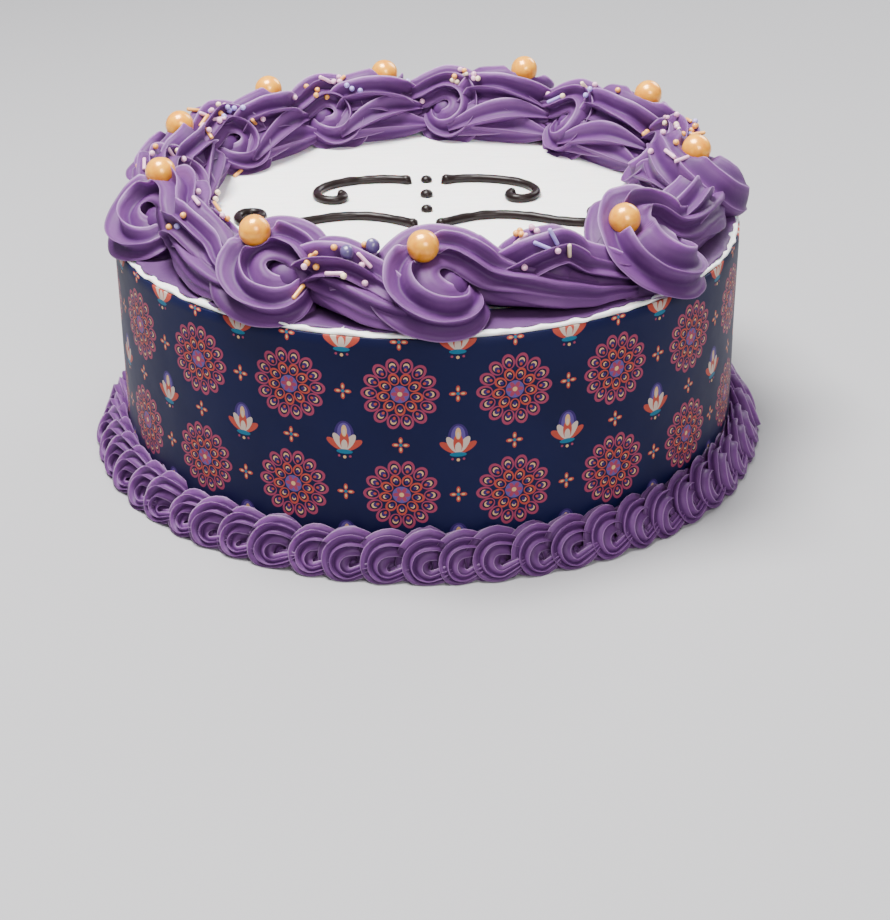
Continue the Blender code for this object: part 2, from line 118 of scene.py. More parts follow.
def spline(points: Sequence[Point], steps: int) -> np.ndarray:
    """Sample a Catmull-Rom curve through points, end points included.

    Args:
        points: the knots.
        steps: how many samples to return.

    Returns:
        Array of samples.
    """
    knots = np.asarray(points, float)
    padded = np.vstack([2 * knots[0] - knots[1], knots, 2 * knots[-1] - knots[-2]])
    segments = len(knots) - 1
    found = []
    for k in range(steps):
        s = k / (steps - 1) * segments
        i = min(int(s), segments - 1)
        u = s - i
        a, b, c, d = padded[i : i + 4]
        square, cube = 2 * a - 5 * b + 4 * c - d, 3 * b - a - 3 * c + d
        found.append(0.5 * (2 * b + (c - a) * u + square * u * u + cube * u**3))
    return np.array(found)


def carried_frames(path: np.ndarray, across: np.ndarray, along: np.ndarray) -> list[Axes]:
    """Carry a pair of section axes along a path without twist.

    Args:
        path: points of the path.
        across: first section axis at the start.
        along: second section axis at the start.

    Returns:
        The pair of axes at every point.
    """
    straight = 1e-9
    heading = np.gradient(path, axis=0)
    heading /= np.linalg.norm(heading, axis=1)[:, None]
    frames = [(across, along)]
    for before, after in zip(heading[:-1], heading[1:]):
        axis = np.cross(before, after)
        size = np.linalg.norm(axis)
        if size > straight:
            turn = np.array(Matrix.Rotation(math.atan2(size, before @ after), 3, Vector(axis / size)))
            across, along = turn @ across, turn @ along
        frames.append((across, along))
    return frames


@dataclass(frozen=True)
class Nozzle:
    """An open star nozzle: the shape that it gives a strand's section.

    Attributes:
        flutes: number of crests.
        depth: depth of a groove, as a share of the radius.
        sharpness: below 1 gives thin crests and wide grooves.
        samples: section points for each flute.
        hook: how far the crests lean over sideways, radians.
        broad: number of crests left where they have run together.
        blur: how much rounder those broad crests are.
        crowd: how closely the section points crowd at the crests.
    """

    flutes: int = 9
    depth: float = 0.46
    sharpness: float = 0.62
    samples: int = 12
    hook: float = 0.13
    broad: int = 5
    blur: float = 1.4
    crowd: float = 1.35

    def spots(self) -> np.ndarray:
        """Return the angles of the section points, crowded at the crests."""
        s = np.linspace(0, 1, self.samples, endpoint=False)
        s = 0.5 - 0.5 * np.sign(0.5 - s) * np.abs(1 - 2 * s) ** self.crowd
        return np.concatenate([(k + s) * math.tau / self.flutes for k in range(self.flutes)])

    def crest(self, merged: float = 0.0) -> np.ndarray:
        """Work out how near each section point is to a crest.

        Args:
            merged: how far the crests have run together, 0 to 1.

        Returns:
            1 on a crest, 0 in a groove.
        """
        narrow = 1 - np.abs(np.sin(self.flutes * self.spots() / 2)) ** self.sharpness
        wide = 1 - np.abs(np.sin(self.broad * self.spots() / 2)) ** (self.blur * self.sharpness)
        return narrow * (1 - merged) + wide * merged

    def section(self, centre: np.ndarray, across: np.ndarray, along: np.ndarray, radius: float,
                depth: float | None = None, phase: float = 0.0, merged: float = 0.0) -> np.ndarray:
        """Lay one section of the strand.

        Args:
            centre: middle of the section.
            across: first axis of its plane.
            along: second axis of its plane.
            radius: radius over the crests.
            depth: groove depth, or the nozzle's own.
            phase: turn of the star in its plane.
            merged: how far the crests have run together, 0 to 1.

        Returns:
            The section's points.
        """
        groove = self.depth if depth is None else depth
        crest = self.crest(merged)
        reach = radius * (1 - groove * (1 - crest))
        angles = self.spots() + phase + self.hook * crest
        return centre + np.outer(np.cos(angles) * reach, across) + np.outer(np.sin(angles) * reach, along)


@dataclass(frozen=True)
class Seat:
    """The ring that strands are piped round, and the surface that they lie on.

    Attributes:
        radius: radius of the ring's middle line, mm.
        base: height of the surface, mm.
        rim: where the surface ends, outward of the middle line.
        wall: where a wall stands, inward of the middle line, or None.
        verge: how far inside the rim icing starts to hang, mm.
        soft: how rounded the contact with the surface is, mm.
        wall_soft: how rounded the contact with the wall is, squared, mm.
        sink: how far icing is pressed into the surface, mm.
    """

    radius: float
    base: float
    rim: float = 1000.0
    wall: float | None = None
    verge: float = 1.5
    soft: float = 1.0
    wall_soft: float = 0.3
    sink: float = 0.1

    def settle(self, points: np.ndarray, droop: float) -> np.ndarray:
        """Press points onto the surface and the wall, softly, so that nothing crosses them.

        Args:
            points: (t, r, z) points.
            droop: slope with which icing hangs past the rim.

        Returns:
            The moved points.
        """
        placed = np.array(points, float)
        ground = -np.maximum(0, placed[:, 1] - self.rim + self.verge) * droop
        rise = placed[:, 2] - ground
        placed[:, 2] = ground + 0.5 * (rise + np.sqrt(rise * rise + self.soft * self.soft)) - self.sink
        if self.wall is not None:
            off = placed[:, 1] - self.wall
            placed[:, 1] = self.wall + 0.5 * (off + np.sqrt(off * off + self.wall_soft))
        return placed

    def bend(self, points: np.ndarray, azimuth: float) -> np.ndarray:
        """Bend (t, r, z) points in mm round the ring.

        Args:
            points: the points.
            azimuth: where t = 0 lies, degrees.

        Returns:
            Points in metres in the cake's frame.
        """
        angle = math.radians(azimuth) + points[:, 0] / self.radius
        reach = self.radius + points[:, 1]
        level = self.base + points[:, 2]
        return MM * np.stack([reach * np.cos(angle), reach * np.sin(angle), level], axis=-1)


class Skin:
    """Gathers lofted strands into one mesh and remembers how near each point is to a crest."""

    END_CREST = 0.3

    def __init__(self) -> None:
        """Start empty."""
        self.points: list[np.ndarray] = []
        self.faces: list[Face] = []
        self.crests: list[np.ndarray] = []
        self.count = 0

    def loft(self, sections: Sequence[np.ndarray], crests: Sequence[np.ndarray], flip: bool = False) -> None:
        """Add a strand skinned over its sections and closed at both ends.

        Args:
            sections: point arrays of equal size.
            crests: crest nearness of each section's points.
            flip: turn the faces over.
        """
        rows, size = len(sections), len(sections[0])
        start = self.count
        last = start + (rows - 1) * size
        foot = last + size
        head = foot + 1
        self.count = head + 1
        ends = np.array([sections[0].mean(axis=0), sections[-1].mean(axis=0)])
        self.points += [np.vstack(sections), ends]
        self.crests += [np.concatenate(crests), np.full(2, self.END_CREST)]
        faces = []
        for i in range(rows - 1):
            low, high = start + i * size, start + (i + 1) * size
            for j in range(size):
                k = (j + 1) % size
                faces.append((low + j, low + k, high + k, high + j))
        for j in range(size):
            k = (j + 1) % size
            faces += [(foot, start + k, start + j), (head, last + j, last + k)]
        self.faces += [face[::-1] for face in faces] if flip else faces

    def dent(self, centre: np.ndarray, outward: np.ndarray, floor: float = 2.2, flat: float = 4.6,
             reach: float = 8.0, deep: float = 9.0) -> None:
        """Press the icing down where a pearl is set into it.

        Args:
            centre: middle of the pearl, metres.
            outward: direction from which it is pressed.
            floor: depth of the dent's floor below the centre, mm.
            flat: radius of the dent, mm.
            reach: radius at which it has run out, mm.
            deep: depth below the centre at which icing no longer gives way, mm.
        """
        for rows in self.points:
            offset = (rows - centre) / MM
            height = offset @ outward
            aside = np.linalg.norm(offset - np.outer(height, outward), axis=1)
            fade = eased(np.clip((reach - aside) / (reach - flat), 0, 1))
            over = np.where(height > -deep, np.maximum(0, height + floor), 0)
            rows -= np.outer(over * fade * MM, outward)

    def to_object(self, name: str) -> bpy.types.Object:
        """Make the smooth mesh object with its crest attribute.

        Args:
            name: its name.

        Returns:
            The new object.
        """
        made = mesh_object(name, np.vstack(self.points), self.faces)
        layer = made.data.attributes.new("crest", "FLOAT", "POINT")
        layer.data.foreach_set("value", np.concatenate(self.crests).astype(np.float32))
        return made


def eased(share: np.ndarray | float) -> np.ndarray | float:
    """Return a share from 0 to 1 with a soft start and a soft end."""
    return share * share * (3 - 2 * share)


def mesh_object(name: str, points: np.ndarray, faces: Sequence[Sequence[int]]) -> bpy.types.Object:
    """Make a linked mesh object, smooth shaded.

    Args:
        name: its name.
        points: vertices in metres.
        faces: vertex indices of each face.

    Returns:
        The new object.
    """
    data = bpy.data.meshes.new(name)
    data.from_pydata([tuple(p) for p in points], [], [tuple(f) for f in faces])
    data.update()
    data.polygons.foreach_set("use_smooth", [True] * len(data.polygons))
    made = bpy.data.objects.new(name, data)
    bpy.context.scene.collection.objects.link(made)
    return made


def roughen(points: np.ndarray, amount: float, scale: float, seed: float) -> np.ndarray:
    """Shift points by smooth noise.

    Args:
        points: points in metres.
        amount: largest shift, mm.
        scale: size of the noise, mm.
        seed: offset that makes each piece its own.

    Returns:
        The shifted points.
    """
    stride = 3.1
    shifted = np.empty_like(points)
    for i, p in enumerate(points):
        sample = Vector(p) / (scale * MM) + Vector((seed, stride * seed, -seed))
        shifted[i] = p + np.array(noise.noise_vector(sample)) * amount * MM
    return shifted


@dataclass(frozen=True)
class Lump:
    """The soft icing pressed into the middle of a curl.

    Attributes:
        sides: points of a section.
        rows: number of sections.
        sink: how far its middle lies below the pivot, mm.
        reach: height of the last section, as a share of the radius.
        flat: depth at which its underside is flat, as a share of the radius.
        crest: crest nearness that gives it the dark groove tone, painted shade in the middle of the curl.
    """

    sides: int = 16
    rows: int = 8
    sink: float = 1.6
    reach: float = 0.98
    flat: float = 0.6
    crest: float = 0.1

    def sections(self, centre: np.ndarray, radius: float) -> list[np.ndarray]:
        """Work out the sections.

        Args:
            centre: middle of the lump, (t, r, z).
            radius: its radius, mm.

        Returns:
            Point arrays in (t, r, z).
        """
        ring = np.arange(self.sides) * math.tau / self.sides
        found = []
        for height in np.linspace(-self.reach, self.reach, self.rows):
            width = radius * math.sqrt(1 - height * height)
            rise = np.full(self.sides, max(height, -self.flat) * radius)
            found.append(centre + np.column_stack([np.cos(ring) * width, np.sin(ring) * width, rise]))
        return found


@dataclass(frozen=True)
class Curl:
    """One piped curl: a strand that winds round a tilted pivot and runs off in a tail.

    Attributes:
        pivot: (t, r, z) of the pivot; for an inward curl r counts inward.
        tilt: how far the pivot leans outward from upright, degrees.
        fan: keys of (angle, strand radius, distance from the pivot, shift along the pivot).
        tail: knots of the tail; t is a share of the distance to the next unit.
        tail_radii: keys of (share of the tail, strand radius).
        core: radius of the icing pressed into the middle of the curl, mm.
        nozzle: the star nozzle.
        turn: side on which the strand winds up.
        droop: slope with which it hangs past the rim.
        lean: turn of the pivot along the ring, degrees.
        phase: turn of the star, degrees.
        twist: further turn of the star on the way round the pivot, degrees.
        merge: how far the crests run together along the tail, 0 to 1.
        merging: shares of the tail over which they do.
        blunt: how much shallower the grooves are where the strand starts, 0 to 1.
        fade: share of the way round the pivot over which they reach their depth.
        nose: how far the start is drawn out, in strand radii.
        nose_steps: shares of the nose at which it has a section, from its tip.
        nose_fade: how much shallower still the grooves are at its tip, 0 to 1.
        lead: length of the run before the tail that its curve takes up, mm.
    """

    pivot: Point
    tilt: float
    fan: tuple[tuple[float, float, float, float], ...]
    tail: tuple[Point, ...]
    tail_radii: tuple[Pair, ...]
    core: float
    nozzle: Nozzle = Nozzle()
    turn: Turn = Turn.OUTWARD
    droop: float = 0.5
    lean: float = 0.0
    phase: float = 0.0
    twist: float = 0.0
    merge: float = 0.0
    merging: Pair = (0.1, 0.6)
    blunt: float = 0.45
    fade: float = 0.25
    nose: float = 0.9
    nose_steps: tuple[float, ...] = (0.97, 0.86, 0.65, 0.35)
    nose_fade: float = 0.4
    lead: float = 8.0

    def grown(self, size: float) -> "Curl":
        """Return the curl with its strand and its winding scaled."""
        return replace(
            self,
            fan=tuple((a, r * size, d * size, s) for a, r, d, s in self.fan),
            tail_radii=tuple((u, r * size) for u, r in self.tail_radii),
        )

    def axes(self) -> tuple[np.ndarray, np.ndarray, np.ndarray]:
        """Return the direction of the pivot, the one along the ring and the one down the slope."""
        tilt = math.radians(self.tilt)
        axis = np.array([0, math.sin(tilt), math.cos(tilt)])
        ahead = np.array([1.0, 0, 0])
        down = np.array([0, math.cos(tilt), -math.sin(tilt)])
        if self.lean:
            turn = np.array(Matrix.Rotation(math.radians(self.lean), 3, Vector(down)))
            axis, ahead = turn @ axis, turn @ ahead
        return axis, ahead, down

    def station(self, degrees: float) -> tuple[np.ndarray, np.ndarray, float]:
        """Find the strand at an angle round the pivot.

        Args:
            degrees: the angle, 0 down the slope and 90 back along the ring.

        Returns:
            Its middle, its direction from the pivot and its radius.
        """
        axis, ahead, down = self.axes()
        angle = math.radians(degrees)
        out = math.cos(angle) * down - math.sin(angle) * ahead
        radius, distance, shift = (keyed([(key[0], key[n]) for key in self.fan], degrees) for n in (1, 2, 3))
        return np.array(self.pivot, float) + out * distance + axis * shift, out, radius

    def start(self) -> list[np.ndarray]:
        """Return the sections of the strand's rounded start."""
        glance = 2.0
        first = self.fan[0][0]
        centre, out, radius = self.station(first)
        step = self.station(first + glance)[0] - centre
        step /= np.linalg.norm(step)
        axis, phase = self.axes()[0], math.radians(self.phase)
        found = []
        for q in self.nose_steps:
            groove = self.nozzle.depth * (1 - self.blunt) * (1 - self.nose_fade * q)
            place = centre - step * radius * q * self.nose
            width = radius * math.sqrt(1 - q * q)
            found.append(self.nozzle.section(place, out, axis, width, groove, phase))
        return found

    def sections(self, pitch: float, fan_steps: int, tail_steps: int) -> tuple[Rows, Rows]:
        """Work out the strand's sections.

        Args:
            pitch: distance to the next unit, mm.
            fan_steps: sections round the pivot.
            tail_steps: sections along the tail.

        Returns:
            Point arrays in (t, r, z), not yet settled, and the crest nearness of each one's points.
        """
        axis, phase, twist = self.axes()[0], math.radians(self.phase), math.radians(self.twist)
        found, centres = self.start(), []
        angles = np.linspace(self.fan[0][0], self.fan[-1][0], fan_steps)
        for share, degrees in zip(np.linspace(0, 1, fan_steps), angles):
            centre, out, radius = self.station(float(degrees))
            centres.append(centre)
            groove = self.nozzle.depth * (1 - self.blunt * max(0.0, 1 - float(share) / self.fade) ** 2)
            found.append(self.nozzle.section(centre, out, axis, radius, groove, phase + twist * float(share)))
        crests = [self.nozzle.crest()] * len(found)
        phase += twist
        step = centres[-1] - centres[-2]
        tail = [(t * pitch, r, z) for t, r, z in self.tail]
        knots = np.vstack([centres[-1] - step / np.linalg.norm(step) * self.lead, centres[-1], tail])
        parts = len(knots) - 1
        path = spline(knots, tail_steps * parts // (parts - 1) + 1)
        path = path[round((len(path) - 1) / parts):]
        for i, (across, along) in list(enumerate(carried_frames(path, out, axis)))[1:]:
            share = i / (len(path) - 1)
            radius, merged = keyed(self.tail_radii, share), self.merged(share)
            found.append(self.nozzle.section(path[i], across, along, radius, phase=phase, merged=merged))
            crests.append(self.nozzle.crest(merged))
        if self.turn is Turn.INWARD:
            found = [s * (1, -1, 1) for s in found]
        return found, crests

    def merged(self, share: float) -> float:
        """Return how far the crests have run together at a share of the tail."""
        begin, end = self.merging
        return self.merge * eased(min(1.0, max(0.0, (share - begin) / (end - begin))))

    def pipe(self, skin: Skin, seat: Seat, azimuth: float, pitch: float, steps: tuple[int, int],
             waver: Pair, seed: float) -> None:
        """Pipe the curl and the lump in its middle into a skin.

        Args:
            skin: mesh that gathers the strands.
            seat: ring and surface that it lies on.
            azimuth: where the curl's t = 0 lies, degrees.
            pitch: distance to the next unit, mm.
            steps: sections round the pivot and along the tail.
            waver: unevenness and the size of its waves, mm.
            seed: makes the unevenness the curl's own.
        """
        sections, crests = self.sections(pitch, *steps)
        laid = [seat.bend(seat.settle(s, self.droop), azimuth) for s in sections]
        uneven = roughen(np.vstack(laid), *waver, seed)
        uneven[:, 2] = np.maximum(uneven[:, 2], 0.0)
        skin.loft(list(uneven.reshape(len(laid), -1, 3)), crests, flip=self.turn is Turn.INWARD)
        lump, tilt = Lump(), math.radians(self.tilt)
        t, r, z = self.pivot
        inward, lower = math.sin(tilt) * lump.sink, math.cos(tilt) * lump.sink
        centre = np.array([t, (r - inward) * self.turn.value, z - lower])
        core = [seat.bend(s, azimuth) for s in lump.sections(centre, self.core)]
        # The lump takes the dark groove tone: painted shade in the middle of the curl.
        skin.loft(core, [np.full(lump.sides, lump.crest)] * len(core))


@dataclass(frozen=True)
class Bedding:
    """A fluted rope under the curls, which closes the gaps between them.

    Attributes:
        knots: (t, further t as a share of the pitch, r, z) of each knot.
        radii: keys of (share of the length, radius).
        nozzle: the star nozzle.
        steps: number of sections.
    """

    knots: tuple[tuple[float, float, float, float], ...]
    radii: tuple[Pair, ...]
    nozzle: Nozzle
    steps: int

    def pipe(self, skin: Skin, seat: Seat, azimuth: float, pitch: float) -> None:
        """Pipe the rope into a skin.

        Args:
            skin: mesh that gathers the strands.
            seat: ring and surface that it lies on.
            azimuth: where t = 0 lies, degrees.
            pitch: distance to the next unit, mm.
        """
        path = spline([(t + share * pitch, r, z) for t, share, r, z in self.knots], self.steps)
        heading = path[1] - path[0]
        heading /= np.linalg.norm(heading)
        across = np.cross(heading, (0, 0, 1.0))
        across /= np.linalg.norm(across)
        laid = []
        for i, (a, b) in enumerate(carried_frames(path, across, np.cross(across, heading))):
            section = self.nozzle.section(path[i], a, b, keyed(self.radii, i / (self.steps - 1)))
            laid.append(seat.bend(seat.settle(section, 0.0), azimuth))
        skin.loft(laid, [self.nozzle.crest()] * len(laid))


@dataclass(frozen=True)
class Grain:
    """One layer of fine relief on a finish.

    Attributes:
        scale: noise scale, per metre.
        detail: octaves.
        strength: strength of the relief, 0 to 1.
        depth: its height, metres.
        stretch: scale of the noise along each axis.
    """

    scale: float
    detail: float
    strength: float
    depth: float
    stretch: Point = (1, 1, 1)


class Shader:
    """A small helper that wires shader nodes."""

    MIX_FACTOR, MIX_FIRST, MIX_SECOND, MIX_RESULT = 0, 6, 7, 2

    def __init__(self, name: str) -> None:
        """Start a material with a Principled surface."""
        self.material = bpy.data.materials.new(name)
        self.material.use_nodes = True
        self.nodes = self.material.node_tree.nodes
        self.links = self.material.node_tree.links
        self.surface = self.nodes["Principled BSDF"]

    def feed(self, target: Socket, value: Input) -> None:
        """Link an output to an input, or set a number, a vector or a colour on it.

        Args:
            target: the input.
            value: another node's output, a number, or the numbers of a vector or a colour.
        """
        if isinstance(value, Socket):
            self.links.new(value, target)
        elif target.type == "RGBA":
            target.default_value = (*value, 1)
        else:
            target.default_value = value

    def add(self, kind: str, inputs: Inputs | None = None, **settings: object) -> bpy.types.Node:
        """Add a node.

        Args:
            kind: its type.
            inputs: what feeds its inputs.
            settings: its properties.

        Returns:
            The node.
        """
        node = self.nodes.new(kind)
        for key, value in settings.items():
            setattr(node, key, value)
        for key, value in (inputs or {}).items():
            self.feed(node.inputs[key], value)
        return node

    def noise(self, scale: float, detail: float, stretch: Point = (1, 1, 1)) -> Socket:
        """Return a noise value over the object's own coordinates.

        Args:
            scale: noise scale, per metre.
            detail: octaves.
            stretch: scale of each axis.

        Returns:
            The socket with the value.
        """
        place = self.add("ShaderNodeTexCoord").outputs["Object"]
        spot = self.add("ShaderNodeMapping", {"Vector": place, "Scale": stretch}).outputs["Vector"]
        inputs = {"Vector": spot, "Scale": scale, "Detail": detail}
        return self.add("ShaderNodeTexNoise", inputs).outputs["Fac"]

    def ramp(self, value: Socket, stops: Sequence[tuple[float, Colour]]) -> Socket:
        """Turn a value into a colour.

        Args:
            value: the value's socket.
            stops: (position, colour) pairs.

        Returns:
            The colour's socket.
        """
        node = self.add("ShaderNodeValToRGB", {"Fac": value})
        marks = node.color_ramp.elements
        while len(marks) < len(stops):
            marks.new(0.5)
        for mark, (spot, colour) in zip(marks, stops):
            mark.position = spot
            mark.color = (*colour, 1)
        return node.outputs["Color"]

    def mix(self, factor: Input, first: Input, second: Input, mode: str = "MIX") -> Socket:
        """Mix two colours.

        Args:
            factor: share of the second.
            first: a colour or its socket.
            second: a colour or its socket.
            mode: blend mode.

        Returns:
            The mixed colour's socket.
        """
        inputs = {self.MIX_FACTOR: factor, self.MIX_FIRST: first, self.MIX_SECOND: second}
        return self.add("ShaderNodeMix", inputs, data_type="RGBA", blend_type=mode).outputs[self.MIX_RESULT]

    def math(self, operation: str, *values: Input) -> Socket:
        """Return the result of a Math node on values or sockets."""
        return self.add("ShaderNodeMath", dict(enumerate(values)), operation=operation).outputs[0]

    def vector(self, x: Input, y: Input) -> Socket:
        """Return a flat vector of two values."""
        return self.add("ShaderNodeCombineXYZ", {"X": x, "Y": y}).outputs[0]

    def bump(self, grains: Sequence[Grain]) -> None:
        """Stack layers of relief on the surface.

        Args:
            grains: the layers, the lowest first.
        """
        below: Inputs = {}
        for grain in grains:
            height = self.noise(grain.scale, grain.detail, grain.stretch)
            inputs = {"Strength": grain.strength, "Distance": grain.depth, "Height": height, **below}
            below = {"Normal": self.add("ShaderNodeBump", inputs).outputs["Normal"]}
        self.set(**below)

    def set(self, **values: Input) -> None:
        """Feed the surface's inputs; an underscore in a name stands for a space."""
        for key, value in values.items():
            self.feed(self.surface.inputs[key.replace("_", " ")], value)


@dataclass(frozen=True)
class Buttercream:
    """Piped buttercream: soft sheen, with a painted highlight on its thin crests and painted shade in its
    grooves.

    Attributes:
        name: material name.
        body: main tone.
        groove: tone in the grooves, painted shade.
        crest: tone on the crests, painted highlight.
        shares: crest nearness at which the body's tone begins and ends, and at which the crest's painted
            highlight begins.
        dull: tone of the duller patches, a factor.
        bright: tone of the brighter patches, a factor.
        roughness: least roughness, and how much it varies.
        glow: how far each colour of light spreads inside, as factors.
        grains: fine relief.
    """

    name: str
    body: Colour
    groove: Colour
    crest: Colour
    shares: tuple[float, float, float] = (0.35, 0.86, 0.98)
    dull: Colour = (0.90, 0.90, 0.92)
    bright: Colour = (1.06, 1.05, 1.04)
    roughness: Pair = (0.47, 0.12)
    glow: Colour = (1.0, 0.6, 1.1)
    grains: tuple[Grain, ...] = (Grain(450.0, 4.0, 0.35, 0.00025), Grain(2400.0, 2.0, 0.25, 0.00006))

    def material(self) -> bpy.types.Material:
        """Build the material."""
        shader = Shader(self.name)
        near = shader.add("ShaderNodeAttribute", attribute_name="crest").outputs["Fac"]
        # Painted shade in the grooves and a painted highlight on the crests, set by nearness to a crest.
        stops = zip((0.0, *self.shares), (self.groove, self.body, self.body, self.crest))
        patches = shader.ramp(shader.noise(70.0, 3.0), ((0.3, self.dull), (0.7, self.bright)))
        least, span = self.roughness
        shader.set(
            Base_Color=shader.mix(1.0, shader.ramp(near, tuple(stops)), patches, "MULTIPLY"),
            Roughness=shader.math("MULTIPLY_ADD", shader.noise(900.0, 4.0), span, least),
            Subsurface_Weight=0.25, Subsurface_Scale=0.0025, Subsurface_Radius=self.glow,
            IOR=1.4, Specular_IOR_Level=0.3,
        )
        shader.bump(self.grains)
        return shader.material


@dataclass(frozen=True)
class ScrapedIcing:
    """White icing, scraped flat, with fine straight lines from the scraper.

    Attributes:
        name: material name.
        tint: main tone.
        shade: darker tone in the hollows of the lines, painted shade.
        lines: the lines' relief, drawn out along X.
        grain: finer relief.
    """

    name: str = "white_icing"
    tint: Colour = (0.94, 0.93, 0.92)
    shade: Colour = (0.88, 0.87, 0.86)
    lines: Grain = Grain(60.0, 4.0, 0.5, 0.0004, (1.2, 22.0, 4.0))
    grain: Grain = Grain(700.0, 3.0, 0.25, 0.00012)

    def material(self) -> bpy.types.Material:
        """Build the material."""
        shader = Shader(self.name)
        lines = shader.noise(self.lines.scale, self.lines.detail, self.lines.stretch)
        shader.set(
            # Painted shade: the darker tone falls where the lines' relief is low.
            Base_Color=shader.ramp(lines, ((0.35, self.shade), (0.6, self.tint))),
            Roughness=0.55, Subsurface_Weight=0.2, Subsurface_Scale=0.002, IOR=1.4,
        )
        shader.bump((self.lines, self.grain))
        return shader.material


@dataclass(frozen=True)
class SugarShine:
    """Hard sugar with a pearly or a plain gloss.

    Attributes:
        name: material name.
        tint: main tone.
        deep: darker tone in it.
        metal: share of metallic shine.
        rough: roughness under the gloss.
        grain: fine relief.
    """

    name: str
    tint: Colour
    deep: Colour
    metal: float
    rough: float = 0.28
    grain: Grain = Grain(600.0, 4.0, 0.25, 0.0001)

    def material(self) -> bpy.types.Material:
        """Build the material."""
        shader = Shader(self.name)
        shader.set(
            Base_Color=shader.ramp(shader.noise(420.0, 5.0), ((0.3, self.deep), (0.62, self.tint))),
            Roughness=self.rough, Metallic=self.metal, Coat_Weight=0.5, Coat_Roughness=0.12, IOR=1.5,
        )
        shader.bump((self.grain,))
        return shader.material


@dataclass(frozen=True)
class DarkIcing:
    """Piped chocolate icing with a soft gloss.

    Attributes:
        name: material name.
        tint: main tone.
        patch: paler tone in it.
        grain: fine relief.
    """

    name: str = "dark_icing"
    tint: Colour = (0.006, 0.003, 0.003)
    patch: Colour = (0.014, 0.008, 0.008)
    grain: Grain = Grain(600.0, 3.0, 0.4, 0.0002)

    def material(self) -> bpy.types.Material:
        """Build the material."""
        shader = Shader(self.name)
        shader.set(
            Base_Color=shader.ramp(shader.noise(300.0, 3.0), ((0.3, self.tint), (0.8, self.patch))),
            Roughness=0.34, IOR=1.4, Specular_IOR_Level=0.3,
        )
        shader.bump((self.grain,))
        return shader.material


class InkPlane:
    """Lays flat ovals of ink on a sheet, each over the last."""

    def __init__(self, shader: Shader, ground: Socket) -> None:
        """Start on a ground colour."""
        self.shader = shader
        self.colour = ground

    def oval(self, plane: Socket, centre: Pair, half: Pair, ink: Colour, turn: float = 0.0) -> None:
        """Print one oval.

        Args:
            plane: coordinates on the sheet, mm.
            centre: its middle.
            half: its half axes.
            ink: its colour.
            turn: how far it is turned, degrees.
        """
        inputs = {"Vector": plane, "Location": (*centre, 0), "Rotation": (0, 0, math.radians(turn)),
                  "Scale": (*half, 1)}
        spot = self.shader.add("ShaderNodeMapping", inputs, vector_type="TEXTURE").outputs["Vector"]
        reach = self.shader.add("ShaderNodeVectorMath", {0: spot}, operation="LENGTH").outputs["Value"]
        self.colour = self.shader.mix(self.shader.math("LESS_THAN", reach, 1.0), self.colour, ink)


